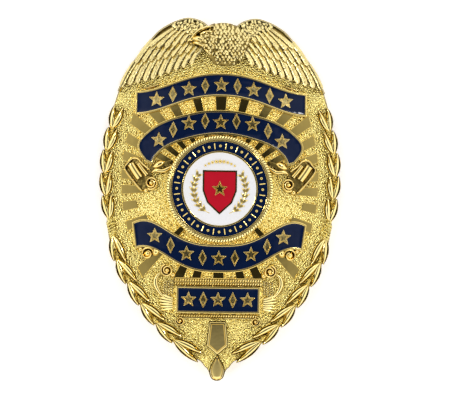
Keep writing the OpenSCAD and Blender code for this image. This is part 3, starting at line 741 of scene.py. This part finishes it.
def middle_outline():
    """The ribbon that arches over the seal."""
    def side(column):
        half = flow([polar(row[column] * MIDDLE_R, row[0]) for row in MIDDLE], 4)
        return [p + SEAL_CENTRE for p in mirrored(half[:0:-1]) + half]

    return side(2) + side(1)[::-1]


UPPER_BEND, LOWER_BEND = (-UPPER_DROP, UPPER_L / 2, UPPER_WAVE), (LOWER_RISE, LOWER_TURN, LOWER_WAVE)
PANEL_X, PANEL_HALF = PANEL_W / 2 + FRAME_W, PANEL_H / 2 + FRAME_W
PANEL_CORNERS = ((-1, 1), (1, 1), (1, -1), (-1, -1))
POCKETS = {
    "upper": ribbon_outline(UPPER_L, UPPER_BAND, UPPER_Y, UPPER_BEND),
    "middle": middle_outline(),
    "lower": ribbon_outline(LOWER_L, LOWER_BAND, LOWER_Y, LOWER_BEND, LOWER_SLANT),
    "panel": [Vector((x * PANEL_X, PANEL_Y + y * PANEL_HALF)) for x, y in PANEL_CORNERS],
}


def make_frame(name, outline):
    """A raised rim round a pocket."""
    bm = bmesh.new()
    top = slab(bm, outline, -FOOT, FRAME_LIFT)
    bmesh.ops.inset_individual(bm, faces=[top], thickness=FRAME_W, depth=0, use_even_offset=True)
    thicken(bm, top, ENAMEL_LIFT - ENAMEL_T - FRAME_LIFT)
    bmesh.ops.delete(bm, geom=[top], context="FACES_ONLY")
    soften(bm, rims_at(bm, FRAME_LIFT), 0.12)
    slice_up(bm, 1.5, 1.5)
    drape(bm)
    finish_piece(name, bm, GOLD, crease=16)


def make_enamel(name, outline, cad_node):
    """Poured enamel that climbs a little up its frame."""
    bm = bmesh.new()
    low, high = ENAMEL_LIFT - ENAMEL_T + 0.05, ENAMEL_LIFT + 0.08
    top = slab(bm, inset(outline, FRAME_W - 0.01), low, high)
    for width, drop in ((0.08, -0.05), (0.14, -0.03)):
        bmesh.ops.inset_individual(bm, faces=[top], thickness=width, depth=drop, use_even_offset=False)
    slice_up(bm, 1.2, 1.2)
    drape(bm)
    finish_piece(name, bm, NAVY, crease=60, replaces=[cad_node])


def star_outline(radius, points=5, waist=0.45):
    """A star whose inner corners lie at a share of the radius. With two points it is a lozenge."""
    return [polar(radius * (1 if i % 2 == 0 else waist), 180 * i / points) for i in range(2 * points)]


def motif(bm, outline, place, low, high):
    """A raised flat motif with a bevelled edge and a sunk middle."""
    top = slab(bm, [p + place for p in outline], low, high)
    soften(bm, top.edges, 0.06, 1)
    sink_middle(bm, top_face(bm), 0.13, 0.06, 0.10)


def motif_rows():
    """Places of the motifs in the ribbons and the panel."""
    row = range(-4, 5)
    upper, lower = ([i * length * STAR_PITCH for i in row] for length in (UPPER_L, LOWER_L))
    turns = [13 * i for i in row]
    return [
        [Vector((x, UPPER_Y + wave(x, *UPPER_BEND))) for x in upper],
        [polar(MIDDLE_R * (0.858 + 0.0029 * abs(turn)), turn) + SEAL_CENTRE for turn in turns],
        [Vector((x, LOWER_Y + wave(x, *LOWER_BEND))) for x in lower],
        [Vector((i * PANEL_W * 0.185, PANEL_Y)) for i in range(-2, 3)],
    ]


def make_motifs():
    """Stars and lozenges by turns."""
    bm = bmesh.new()
    star, lozenge = star_outline(STAR_R), star_outline(STAR_R, 2, 0.5)
    for row in motif_rows():
        for i, place in enumerate(row):
            part = bmesh.new()
            motif(part, lozenge if i % 2 else star, place, 0, ENAMEL_LIFT + STAR_LIFT + 0.05)
            drape(part)
            join(bm, part)
    finish_piece("ribbon_motifs", bm, MOTIF_GOLD, crease=16)


def spiral(centre, radius, start, turns, steps=39, inner=0.42):
    """A path that winds inwards, clockwise from start degrees, to a share of its first radius."""
    return [centre + polar(radius * (1 - (1 - inner) * t), start + 360 * turns * t) for t in shares(steps)]


def make_scrolls():
    """Curled ribbon ends, each a spiral round a dome, and a ridge along the upper ribbon's ends."""
    bm = bmesh.new()
    for (x, y), start, radius, turns, middle, lobes in SCROLLS:
        centre = Vector((x * HALF_W, y * HALF_H))
        strip(bm, spiral(centre, radius * 0.84, start, turns), lambda t: radius * (0.19 - 0.04 * t),
              HALF_ROUND, 0.1, lambda t: FRAME_LIFT + 0.1 + 0.2 * t)
        dome(bm, centre, middle, 1.15, 0.1)
        for place, size, height in lobes:
            dome(bm, centre + Vector(place), size, height, 0.1)
    across = (UPPER_L * (0.36 + 0.012 * i) for i in range(10))
    ridge = [Vector((x, UPPER_Y + UPPER_BAND / 2 + 0.55 + wave(x, *UPPER_BEND))) for x in across]
    strip(bm, ridge, swell(0.3, 0.15, 0.8), HALF_ROUND, 0.1, 0.55)
    finish_pair("ribbon_scrolls", bm, MIRROR_GOLD)


def make_tails():
    """Folded ends of the middle ribbon: a bed in painted shade, and the polished folds and flame over it."""
    bed = bmesh.new()
    for outline in (TAIL, TAIL_STRIP):
        part = bmesh.new()
        top = slab(part, from_shares(outline), -0.4, 0.45)
        soften(part, top.edges, 0.08)
        join(bed, part)
    slice_up(bed, 1.2, 1.2)
    # The bed is painted dark as shade
    finish_pair("tail_beds", bed, PAINTED_SHADE_GOLD, crease=16)
    bm = bmesh.new()
    for route, width, rise, taper, steps in FOLDS:
        strip(bm, flow([Vector(p) for p in route], steps),
              lambda t: width * min(1, math.sin(math.pi * t) / taper + 0.1), HALF_ROUND, 0.1,
              lambda t: rise * min(1, 0.5 + math.sin(math.pi * t) / taper / 2))
    finish_pair("ribbon_tails", bm, MIRROR_GOLD)


def add_panel_ropes(bm, shade_beds):
    """Ropes above and below the panel, with a rail along each, over beds in painted shade."""
    end = PANEL_W / 2 + 2 * FRAME_W
    above = PANEL_Y + PANEL_HALF
    below = PANEL_Y - PANEL_HALF - ROPE_W * 0.7
    lean = Vector((0.13, 0.28))
    for reach, y in ((end, above + ROPE_W * 0.5), (end, above + ROPE_W * 1.35), (end * 0.9, below)):
        strip(shade_beds, [Vector((-reach, y)), Vector((reach, y))], ROPE_W * 0.45, HALF_ROUND, -0.1,
              ROPE_RISE * 0.7)
        twists = round(2 * reach / TWIST_PITCH)
        for i in range(twists):
            place = Vector((-reach + 2 * reach * (i + 0.5) / twists, y))
            strip(bm, [place + lean * t for t in (-1, -0.4, 0.4, 1)], swell(0.23, 0.12, 0.76),
                  SMALL_ROUND, ROPE_RISE * 0.4, swell(ROPE_RISE * 0.6, 0.2, 0.6))
    rails = ((end, above + ROPE_W * 1.85), (end, above + ROPE_W * 0.93), (end * 0.9, below - ROPE_W * 0.5))
    for reach, y in rails:
        strip(bm, [Vector((-reach + 2 * reach * t, y)) for t in shares(40)], 0.13, HALF_ROUND, 0.05,
              ROPE_RISE * 0.6)


def add_side_ornaments(bm):
    """A fan of ridges, rows of beads and a curved leaf on the right of the panel."""
    near, far = 0.375 * HALF_W, 0.480 * HALF_W
    for i in range(6):
        a = Vector((near, PANEL_Y + 0.2 - 0.45 * i))
        b = Vector((far - 0.1 * abs(i - 2), PANEL_Y + 1.0 - 0.72 * i))
        strip(bm, along([a, b], 8), lambda t: 0.17 + 0.14 * math.sin(math.pi * t ** 0.8), SMALL_ROUND, 0.1,
              swell(0.3, 0.1, 0.8, base=0.15))
    for i in range(24):
        row, column = divmod(i, 4)
        place = Vector((near + 0.1 + 0.62 * column, PANEL_Y + 4.2 - 0.56 * row - 0.12 * column))
        pebble(bm, place, Vector((0.18, -0.18)), 0.2, 0.2, 0.12)
    strip(bm, flow([Vector(p) for p in SIDE_SCROLL], 5), swell(0.5, base=0.12), HALF_ROUND, 0.1,
          swell(0.6, base=0.3))


def make_panel_trim():
    """The ropes and the ornaments of both sides as one piece, and the ropes' beds in painted shade."""
    bm, shade_beds, sides = bmesh.new(), bmesh.new(), bmesh.new()
    add_panel_ropes(bm, shade_beds)
    drape(bm)
    slice_up(shade_beds, 1.5, 0)
    drape(shade_beds)
    finish_piece("panel_rope_beds", shade_beds, PAINTED_SHADE_GOLD)
    add_side_ornaments(sides)
    drape(sides)
    both_sides(sides)
    join(bm, sides)
    finish_piece("panel_trim", bm, BEAD_GOLD)


def make_tip():
    """Keystone and teardrop below the panel: a foot in painted shade round a bright rim, and a polished top.
    """
    bm = bmesh.new()
    painted_shade = bm.verts.layers.float.new("painted_shade")
    top_y, low_y = PANEL_Y - PANEL_HALF - 2, -HALF_H + 0.4
    half = [Vector((x * KEYSTONE_W, top_y - y * KEYSTONE_L)) for x, y in KEYSTONE]
    keystone = half + mirrored(half[-2::-1])
    top = slab(bm, keystone, -0.3, TIP_RISE)
    # The keystone's foot is marked for painted shade
    for v in bm.verts:
        v[painted_shade] = 1.0 if v.co.z < 0 else 0.0
    soften(bm, top.edges, 0.26, 3)
    sink_middle(bm, top_face(bm), 0.14, 0.10, 0.14)
    slice_up(bm, 0, 1.2)
    drape(bm)
    side = flow([Vector((x * DROP_W, 1 - y)) for x, y in DROP], 6)

    def drop_width(t):
        k = max(j for j in range(len(side) - 1) if side[j].y <= t + 1e-6)
        a, b = side[k], side[k + 1]
        return max(a.x + (b.x - a.x) * (t - a.y) / max(b.y - a.y, 1e-6), 0.0) + 0.02

    # A thin dark slab round the keystone and the drop: painted shade at their foot
    bed = bmesh.new()
    for shape in (keystone, closed([Vector((p.x, low_y + DROP_L * (1 - p.y))) for p in side])):
        slab(bed, inset(shape, -0.2), -0.4, 0.06)
    slice_up(bed, 0, 1.2)
    drape(bed)
    finish_piece("tip_bed", bed, PAINTED_SHADE_GOLD, crease=24)
    drop = bmesh.new()
    strip(drop, [Vector((0, low_y + DROP_L * (1 - t))) for t in shares(24)], drop_width, DROP_SECTION, -0.1,
          lambda t: TIP_RISE * (0.75 + 0.25 * min(1, 3 * math.sin(math.pi * t))), foot=1.0)
    drape(drop)
    join(bm, drop)
    finish_piece("keystone_and_drop", bm, MIRROR_GOLD, crease=24)


# Laurel wreath


def leaf_width(t):
    """Half a leaf's width: full near the root, then drawn out to the tip."""
    return LEAF_W / 2 * math.sin(math.pi * (0.06 + 0.93 * t) ** 0.88) ** 0.75 + 0.01


def make_wreath():
    """Veined leaves in pairs, up and down from the tie, on a stem."""
    bm, bed = bmesh.new(), bmesh.new()
    branch = inset(OUTLINE, BRANCH_INSET)[: len(OUTLINE_HALF)]
    at = distances(branch)
    tie = at[max(j for j in range(len(branch)) if branch[j].y >= TIE_Y)]
    for way, step, pairs in RUNS:
        for i, pair in enumerate(pairs):
            start = tie + way * (TIE_L / 2 + i * step * LEAF_L)
            root = point_at(branch, at, start)
            run = (point_at(branch, at, start + way * LEAF_L) - root).normalized()
            out = Vector((run.y, -run.x)) * way
            for side, length, spread in pair:
                path = [root + run * LEAF_L * length * t
                        + out * side * (ROOT_OUT + (spread * LEAF_W - ROOT_OUT) * t
                                        + LEAF_BOW[side] * math.sin(math.pi * t))
                        for t in shares(14)]
                strip(bm, path, lambda t: leaf_width(t) * LEAF_BREADTH[side], LEAF_SECTION, 0.12,
                      swell(LEAF_RISE * 0.5, 0.06, 0.6, base=LEAF_RISE * 0.5))
    top, low = (tie + way * (TIE_L / 2 + (len(pairs) - 0.3) * step * LEAF_L) for way, step, pairs in RUNS)
    stem = [point_at(branch, at, top + (low - top) * t) for t in shares(90)]
    strip(bed, stem, 0.62, HALF_ROUND, 0.05, 0.55)
    run = (point_at(branch, at, tie + 1) - point_at(branch, at, tie - 1)).normalized()
    wrap = (Vector((-run.y, run.x)) + run * 0.35) * 0.92
    for i in range(-2, 3):
        middle = point_at(branch, at, tie + i * TIE_L / 7)
        strip(bed, [middle + wrap * t for t in (-1, -0.8, -0.4, 0, 0.4, 0.8, 1)], 0.3, HALF_ROUND, 0.1,
              swell(LEAF_RISE * 0.35, base=LEAF_RISE * 0.4))
    finish_pair("laurel_stem", bed, GROUND)
    finish_pair("laurel_wreath", bm, LEAF_GOLD)


# Eagle


def make_wing_base():
    """The ground that shows between the feathers, painted dark as shade."""
    bm = bmesh.new()
    edge = OUTLINE_HALF[EDGE_STEPS * (NOTCH - 1): EDGE_STEPS * WING_END + 1]
    under = [p + Vector((-0.2, 0.9)) for p in flow(from_shares(TIERS[0][0]), 6)]
    top = slab(bm, edge + under[::-1], -FOOT, WING_LIFT)
    soften(bm, top.edges, 0.3)
    slice_up(bm, 1.5, 1.5)
    finish_pair("wing_base", bm, WING_SHADE_GOLD)


def feather_width(share, near, far):
    """Half a feather's width, from the space it has at its root and at its tip."""
    t = FEATHER_STEPS[round(share * (len(FEATHER_STEPS) - 1))]
    end = math.sqrt(max(1 - ((t - FEATHER_END) / (1 - FEATHER_END)) ** 2, 0)) if t > FEATHER_END else 1
    return (near + (far - near) * t) * 0.5 * end + 0.01


def make_feathers():
    """Tiers of feathers that tile each wing, and the wing's rounded front edge."""
    bm = bmesh.new()
    for tips, roots, count, height in TIERS:
        lines = [along(flow(from_shares(row), 12), count) for row in (roots, tips)]
        lift = WING_LIFT * height - 0.25
        for i, (root, tip) in enumerate(zip(*lines)):
            k = min(i, count - 2)
            run = (tip - root).normalized()
            near, far = (abs((line[k + 1] - line[k]).cross(run)) for line in lines)
            bow = Vector((-run.y, run.x)) * FEATHER_BOW
            path = [root.lerp(tip, t) + bow * math.sin(math.pi * t) for t in FEATHER_STEPS]
            strip(bm, path, lambda t: feather_width(t, near, far), FEATHER_SECTION,
                  lambda t: lift - 0.2 * (1 - t), FEATHER_RISE * 1.15, foot=0.3)
    edge = along(OUTLINE_HALF[EDGE_STEPS * NOTCH: EDGE_STEPS * WING_END + 1], 40)
    front = [p + (Vector((0, 20)) - p).normalized() * 0.35 for p in edge]
    strip(bm, front, 0.4, RIM_SECTION, 0.5, WING_LIFT)
    finish_pair("wing_feathers", bm, FEATHER_GOLD)


BODY_OUTLINE, HEAD_OUTLINE = from_shares(EAGLE_BODY), from_shares(EAGLE_HEAD)


def rounded(outline, p, edge_w):
    """Share of the full height at a point, round within edge_w of the outline."""
    near = min(distance_to(outline, p) / edge_w, 1)
    return math.sqrt(max(1 - (1 - near) ** 2, 0))


def body_height(p):
    """Height of the eagle's body above the face."""
    return EAGLE_RISE * (0.45 + 0.55 * rounded(BODY_OUTLINE, p, 4.2))


def head_height(p):
    """Height of the eagle's head above the face."""
    return EAGLE_RISE * (0.55 + 0.6 * rounded(HEAD_OUTLINE, p, 1.7))


def inside(outline, p):
    """True where a point lies within a closed outline."""
    hits = 0
    for i, b in enumerate(outline):
        a = outline[i - 1]
        if (a.y > p.y) != (b.y > p.y) and p.x < a.x + (p.y - a.y) / (b.y - a.y) * (b.x - a.x):
            hits += 1
    return hits % 2 == 1


def make_eagle():
    """The ground under the scales of the eagle's body and head, painted dark as shade."""
    body, head = bmesh.new(), bmesh.new()
    pillow(body, flow(BODY_OUTLINE + BODY_OUTLINE[:1], 3)[:-1], body_height)
    drape(body)
    finish_piece("eagle_body", body, PAINTED_SHADE_GOLD, crease=60)
    pillow(head, HEAD_OUTLINE, head_height, 0.45)
    drape(head)
    finish_piece("eagle_head", head, PAINTED_SHADE_GOLD, crease=60)


def jitter(k):
    """A steady pseudo-random number from -1 to 1."""
    value = math.sin(k * 12.9898) * 43758.5453
    return 2 * (value - math.floor(value)) - 1


def make_scales():
    """Overlapping scales on the eagle's head and body, each a little out of its row."""
    bm = bmesh.new()
    face_x = -5.6
    for row in range(17):
        for column in range(-11, 15):
            k = row * 31 + column
            across = column + 0.5 * (row % 2) + 0.22 * jitter(k)
            down = row * 0.76 + 0.16 * jitter(k + 500)
            p = Vector((across * SCALE_PITCH, 40.3 - down * SCALE_PITCH))
            on_head = inside(HEAD_OUTLINE, p)
            outline, margin = (HEAD_OUTLINE, 0.3) if on_head else (BODY_OUTLINE, 0.2)
            if not inside(outline, p) or distance_to(outline, p) < margin or (on_head and p.x < face_x):
                continue
            width, base = (0.36, head_height(p)) if on_head else (0.44, body_height(p))
            length = SCALE_PITCH * (0.53 + 0.08 * jitter(k + 70))
            lean = Vector((0.6 * jitter(k + 900), -1)).normalized() * length
            pebble(bm, p, lean, SCALE_PITCH * (width + 0.06 * jitter(k + 33)), base,
                   0.46 + 0.26 * jitter(k + 5))
    drape(bm)
    finish_piece("eagle_scales", bm, SCALE_GOLD)


def make_face():
    """Brow, eye, cheek and beak of the eagle's head, each a raised strip."""
    bm = bmesh.new()

    def ridge(points, width, rise, taper=(0.1, 0.9)):
        path = flow(from_shares(points), 5)
        last = len(path) - 1
        strip(bm, path, swell(width, taper[0], taper[1] - taper[0], base=0.03), HALF_ROUND,
              lambda t: min(head_height(path[round(t * last)]), EAGLE_RISE) - 0.25,
              swell(rise, 0.2, 0.6, base=0.2), foot=0.2)

    ridge([(-0.262, 0.882), (-0.222, 0.910), (-0.180, 0.932), (-0.125, 0.946), (-0.072, 0.952)], 0.42, 0.75)
    ridge([(-0.186, 0.908), (-0.150, 0.917), (-0.110, 0.921), (-0.072, 0.920)], 0.36, 0.6, (0.2, 0.85))
    ridge([(-0.289, 0.861), (-0.272, 0.874), (-0.235, 0.884), (-0.190, 0.882), (-0.140, 0.872)], 0.66, 0.85,
          (0.05, 0.8))
    ridge([(-0.262, 0.855), (-0.220, 0.861), (-0.170, 0.852), (-0.120, 0.838)], 0.42, 0.5, (0.08, 0.85))
    ridge([(-0.120, 0.897), (-0.085, 0.896), (-0.055, 0.885), (-0.040, 0.862)], 0.34, 0.45)
    ridge([(-0.150, 0.830), (-0.115, 0.812), (-0.085, 0.790)], 0.36, 0.5)
    ridge([(-0.105, 0.868), (-0.080, 0.848), (-0.062, 0.822)], 0.36, 0.45)
    drape(bm)
    finish_piece("eagle_face", bm, MOTIF_GOLD)


def make_coverts():
    """Small feathers on the shoulders, each a little out of its row."""
    bm = bmesh.new()
    zone = from_shares([(0.150, 0.955), (0.190, 0.975), (0.285, 0.992), (0.375, 0.978), (0.420, 0.958),
                        (0.410, 0.938), (0.350, 0.928), (0.290, 0.915), (0.245, 0.893), (0.215, 0.905)])
    for row in range(11):
        for column in range(14):
            k = row * 29 + column
            across = column + 0.5 * (row % 2) + 0.3 * jitter(k)
            down = row * 0.8 + 0.25 * jitter(k + 200)
            p = Vector((3.6 + across * COVERT_PITCH, 41.0 - down * COVERT_PITCH))
            if not inside(zone, p) or distance_to(zone, p) < 0.12:
                continue
            length = COVERT_PITCH * (0.6 + 0.12 * jitter(k + 7))
            lean = Vector((0.6 + 0.5 * jitter(k + 90), -0.8)).normalized() * length
            pebble(bm, p, lean, COVERT_PITCH * (0.5 + 0.1 * jitter(k + 31)), WING_LIFT * 1.95,
                   0.3 + 0.25 * jitter(k + 11))
    finish_pair("shoulder_coverts", bm, SCALE_GOLD)


# Round seal


def disc_ring(bm, low_r, high_r, low_z, high_z, bevel=0.0, segments=96):
    """A flat ring, or a disc where low_r is 0, round the seal's centre."""
    part = bmesh.new()
    place = Matrix.Translation((0, SEAL_Y, low_z))
    bmesh.ops.create_circle(part, cap_ends=low_r == 0, segments=segments, radius=high_r, matrix=place)
    if low_r:
        outer = part.edges[:]
        bmesh.ops.create_circle(part, cap_ends=False, segments=segments, radius=low_r, matrix=place)
        bmesh.ops.bridge_loops(part, edges=outer + [e for e in part.edges if e not in outer])
    made = bmesh.ops.extrude_face_region(part, geom=part.faces[:])["geom"]
    bmesh.ops.translate(part, verts=verts_of(made), vec=(0, 0, high_z - low_z))
    bmesh.ops.recalc_face_normals(part, faces=part.faces)
    if bevel:
        soften(part, rims_at(part, high_z), bevel)
    join(bm, part)


# Foot of the seal's relief, 0.3 below its face. strip counts it down from the rest plane
SEAL_FOOT = 0.3 - SEAL_FACE


def crest_outline():
    """The red shield's outline, round the seal's centre."""
    return closed([Vector((x * CREST_W, y * CREST_W + SEAL_Y)) for x, y in CREST])


def stud(bm, place, radius):
    """A round stud that stands out of the seal's enamel, placed from the seal's centre."""
    dome(bm, place + SEAL_CENTRE, radius, radius, SEAL_FACE - 0.06, 12, 8)


def make_seal_rope():
    """The twisted rope round the seal, and the rim inside it."""
    bm = bmesh.new()
    for i in range(SEAL_TWISTS):
        turn = 360 * i / SEAL_TWISTS
        centre = polar(SEAL_R - 0.4, turn) + SEAL_CENTRE
        lean = polar(0.30, turn + 38)
        strip(bm, [centre + lean * t for t in (-1, -0.45, 0.45, 1)], swell(0.24, 0.14, 0.72), SMALL_ROUND,
              SEAL_FACE - 0.1, swell(0.26, 0.22, 0.56), foot=0.4 - SEAL_FACE)
    disc_ring(bm, RING_R + 0.36, RING_R + 0.66, CELL_FLOOR - 0.1, SEAL_FACE + 0.12, 0.1)
    finish_piece("seal_rope", bm, ROPE_GOLD)


def add_crest_wall(bm):
    """The gold wall round the red enamel."""
    part = bmesh.new()
    top = slab(part, inset(crest_outline(), -WALL_W), CELL_FLOOR - 0.1, SEAL_FACE + 0.02)
    sink_middle(part, top, WALL_W, 0.001, 0.5)
    join(bm, part)


def add_ring_studs(bm):
    """Studs and pairs of dashes by turns, in the seal's navy ring."""
    middle = (FIELD_R + WALL_W + RING_R) / 2
    step = 360 / RING_STUDS
    for i in range(RING_STUDS):
        stud(bm, polar(middle, step * i), 0.36)
        for reach in (-0.32, 0.32):
            low, high = (polar(middle + reach + end, step * (i + 0.5)) + SEAL_CENTRE for end in (-0.34, 0.34))
            strip(bm, [low.lerp(high, t) for t in shares(4)], swell(0.17, 0.2, 0.6), SMALL_ROUND,
                  SEAL_FACE - 0.1, 0.16, foot=SEAL_FOOT)


def add_sprays(bm):
    """Sprays of leaves at both sides of the white enamel."""
    part = bmesh.new()
    strip(part, [polar(SPRAY_R, turn) + SEAL_CENTRE for turn in range(158, 52, -6)], 0.1, SMALL_ROUND,
          SEAL_FACE - 0.1, 0.1, foot=SEAL_FOOT)
    for turn in range(148, 63, -12):
        for side in (-1, 1):
            root = polar(SPRAY_R, turn) + SEAL_CENTRE
            tip = polar(SPRAY_R + side * 0.95, turn - 13) + SEAL_CENTRE
            bow = (tip - root).orthogonal() * 0.12 * side
            strip(part, [root.lerp(tip, t) + bow * math.sin(math.pi * t) for t in shares(6)],
                  swell(0.36, 0.08, 0.9), SMALL_ROUND, SEAL_FACE - 0.1, 0.2, foot=SEAL_FOOT)
    both_sides(part)
    join(bm, part)


def make_seal_metal():
    """The seal's disc with its rims, studs, dashes, crest, star and sprays."""
    bm = bmesh.new()
    disc_ring(bm, 0, SEAL_R - 0.25, SEAT_Z + 0.05, CELL_FLOOR)
    disc_ring(bm, RING_R, SEAL_R - 0.2, CELL_FLOOR - 0.1, SEAL_FACE)
    disc_ring(bm, RING_R - 0.02, RING_R + 0.3, CELL_FLOOR - 0.1, SEAL_FACE + 0.1, 0.06)
    disc_ring(bm, FIELD_R, FIELD_R + WALL_W, CELL_FLOOR - 0.1, SEAL_FACE + 0.02, 0.06)
    add_crest_wall(bm)
    add_ring_studs(bm)
    star = bmesh.new()
    motif(star, star_outline(CREST_W * 0.26), SEAL_CENTRE, CELL_FLOOR, SEAL_FACE + 0.12)
    join(bm, star)
    add_sprays(bm)
    for turn in range(-32, 33, 8):
        stud(bm, polar(ARC_R, turn), 0.42 - 0.005 * abs(turn))
    finish_piece("seal_metal", bm, GOLD, crease=20, replaces=["seal_disc"])


def make_seal_enamels():
    """The seal's navy ring, white middle and red shield."""
    low, high = CELL_FLOOR + 0.05, SEAL_FACE - 0.05
    navy, white, red = bmesh.new(), bmesh.new(), bmesh.new()
    disc_ring(navy, FIELD_R + WALL_W - 0.02, RING_R + 0.02, low, high)
    finish_piece("seal_navy", navy, NAVY, replaces=["seal_ring_enamel"])
    disc_ring(white, 0, FIELD_R + 0.02, low, high)
    finish_piece("seal_white", white, WHITE, replaces=["seal_field_enamel"])
    slab(red, inset(crest_outline(), -0.02), low, high + 0.02)
    finish_piece("seal_red", red, RED, replaces=["seal_red_enamel"])


# Pin on the back


def add_blocks(bm, low, high, bevel=0.0):
    """A block at each end of the pin."""
    for side in (-1, 1):
        part = bmesh.new()
        bmesh.ops.create_cube(part, size=1)
        bmesh.ops.scale(part, verts=part.verts, vec=(PIN_BLOCK_L, PIN_BLOCK_W, high - low))
        if bevel:
            soften(part, part.edges[:], bevel, 3)
        bmesh.ops.translate(part, verts=part.verts, vec=(side * PIN_SPAN / 2, PIN_Y, (low + high) / 2))
        join(bm, part)


def make_pin():
    """Two blocks with the wire between them, and the pads that join them to the casting."""
    bm, wire, pads = bmesh.new(), bmesh.new(), bmesh.new()
    add_blocks(bm, PIN_CLEAR, PAD_Z - 0.05, bevel=0.25)
    bmesh.ops.create_cone(wire, cap_ends=True, segments=20, radius1=PIN_D / 2, radius2=PIN_D / 2,
                          depth=PIN_SPAN)
    bmesh.ops.rotate(wire, verts=wire.verts, cent=(0, 0, 0), matrix=Matrix.Rotation(math.pi / 2, 3, "Y"))
    bmesh.ops.translate(wire, verts=wire.verts, vec=(0, PIN_Y, PIN_CLEAR + PIN_D))
    join(bm, wire)
    finish_piece("back_pin_bar", bm, NICKEL, replaces=["back_pin"])
    add_blocks(pads, PAD_Z, PAD_Z + PAD_T)
    finish_piece("pin_pads", pads, BACK_GOLD)


make_plate()
make_rays()
for label, shape in POCKETS.items():
    make_frame(label + "_frame", shape)
    make_enamel(label + "_fill", shape, label + "_enamel")
make_motifs()
make_scrolls()
make_tails()
make_panel_trim()
make_tip()
make_wreath()
make_wing_base()
make_feathers()
make_eagle()
make_scales()
make_face()
make_coverts()
make_seal_rope()
make_seal_metal()
make_seal_enamels()
make_pin()


# Floor, light and camera

# Brightness of the studio by the sine of the height: a dark camera stand overhead, bright walls lower down
SKY = [(0.0, 1.2), (0.50, 1.62), (0.70, 1.45), (0.80, 0.60), (0.88, 0.40), (0.915, 0.25), (0.942, 0.04),
       (0.999, 0.025)]
SKY_MAX = 1.7
# Round lamps: place and width in metres, power in watts
LAMPS = {"key": ((0.33, 0.30, 0.46), 0.07, 0.35), "fill": ((-0.35, 0.12, 0.40), 0.06, 0.25)}
# The photo: its width in pixels, a pixel's size, the badge's lean, and where its centre lies off the middle
PHOTO_W, PIXEL, LEAN = 450, 0.2263 * MM, 0.9
AIM_X, AIM_Y = 5.4 * PIXEL, 0.2 * PIXEL


def make_floor():
    """A white floor with a faint glow, so that it stays white up to the badge."""
    bm = bmesh.new()
    bmesh.ops.create_grid(bm, x_segments=1, y_segments=1, size=1.5)
    mesh = bpy.data.meshes.new("floor")
    bm.to_mesh(mesh)
    bm.free()
    material, _, shader = new_material("floor_white")
    shader.inputs["Base Color"].default_value = (0.93, 0.93, 0.93, 1)
    shader.inputs["Roughness"].default_value = 0.9
    shader.inputs["Emission Color"].default_value = (1, 1, 1, 1)
    shader.inputs["Emission Strength"].default_value = 0.32
    mesh.materials.append(material)
    floor = bpy.data.objects.new("floor", mesh)
    bpy.context.scene.collection.objects.link(floor)


def make_light():
    """A studio of pale walls with a dark stand above the badge, and two small lamps."""
    world = bpy.data.worlds.new("studio")
    bpy.context.scene.world = world
    world.use_nodes = True
    tree = world.node_tree
    way = node(tree, "ShaderNodeTexCoord").outputs["Generated"]
    height = node(tree, "ShaderNodeSeparateXYZ", [(0, way)]).outputs["Z"]
    ramp = node(tree, "ShaderNodeValToRGB", [("Fac", height)])
    band = ramp.color_ramp.elements
    band.remove(band[1])
    for i, (at, level) in enumerate(SKY):
        element = band[0] if i == 0 else band.new(at)
        element.position = at
        shade = level / SKY_MAX
        element.color = (shade, shade, shade, 1)
    tree.links.new(ramp.outputs["Color"], tree.nodes["Background"].inputs["Color"])
    tree.nodes["Background"].inputs["Strength"].default_value = SKY_MAX
    for name, (place, size, power) in LAMPS.items():
        lamp = bpy.data.lights.new(name, "AREA")
        lamp.shape, lamp.size, lamp.energy = "DISK", size, power
        holder = bpy.data.objects.new(name, lamp)
        holder.location = place
        holder.rotation_euler = (-Vector(place)).to_track_quat("-Z", "Y").to_euler()
        bpy.context.scene.collection.objects.link(holder)


def make_camera():
    """Straight above the badge, far enough for the photo's scale at the height of its face."""
    data = bpy.data.cameras.new("camera")
    data.sensor_width, data.lens = 36.0, 200.0
    camera = bpy.data.objects.new("camera", data)
    distance = PHOTO_W * PIXEL * data.lens / data.sensor_width
    camera.location = (AIM_X, AIM_Y, 4 * MM + distance)
    camera.rotation_euler = (0, 0, math.radians(LEAN))
    bpy.context.scene.collection.objects.link(camera)
    bpy.context.scene.camera = camera


make_floor()
make_light()
make_camera()
bpy.context.scene.view_settings.view_transform = "Standard"
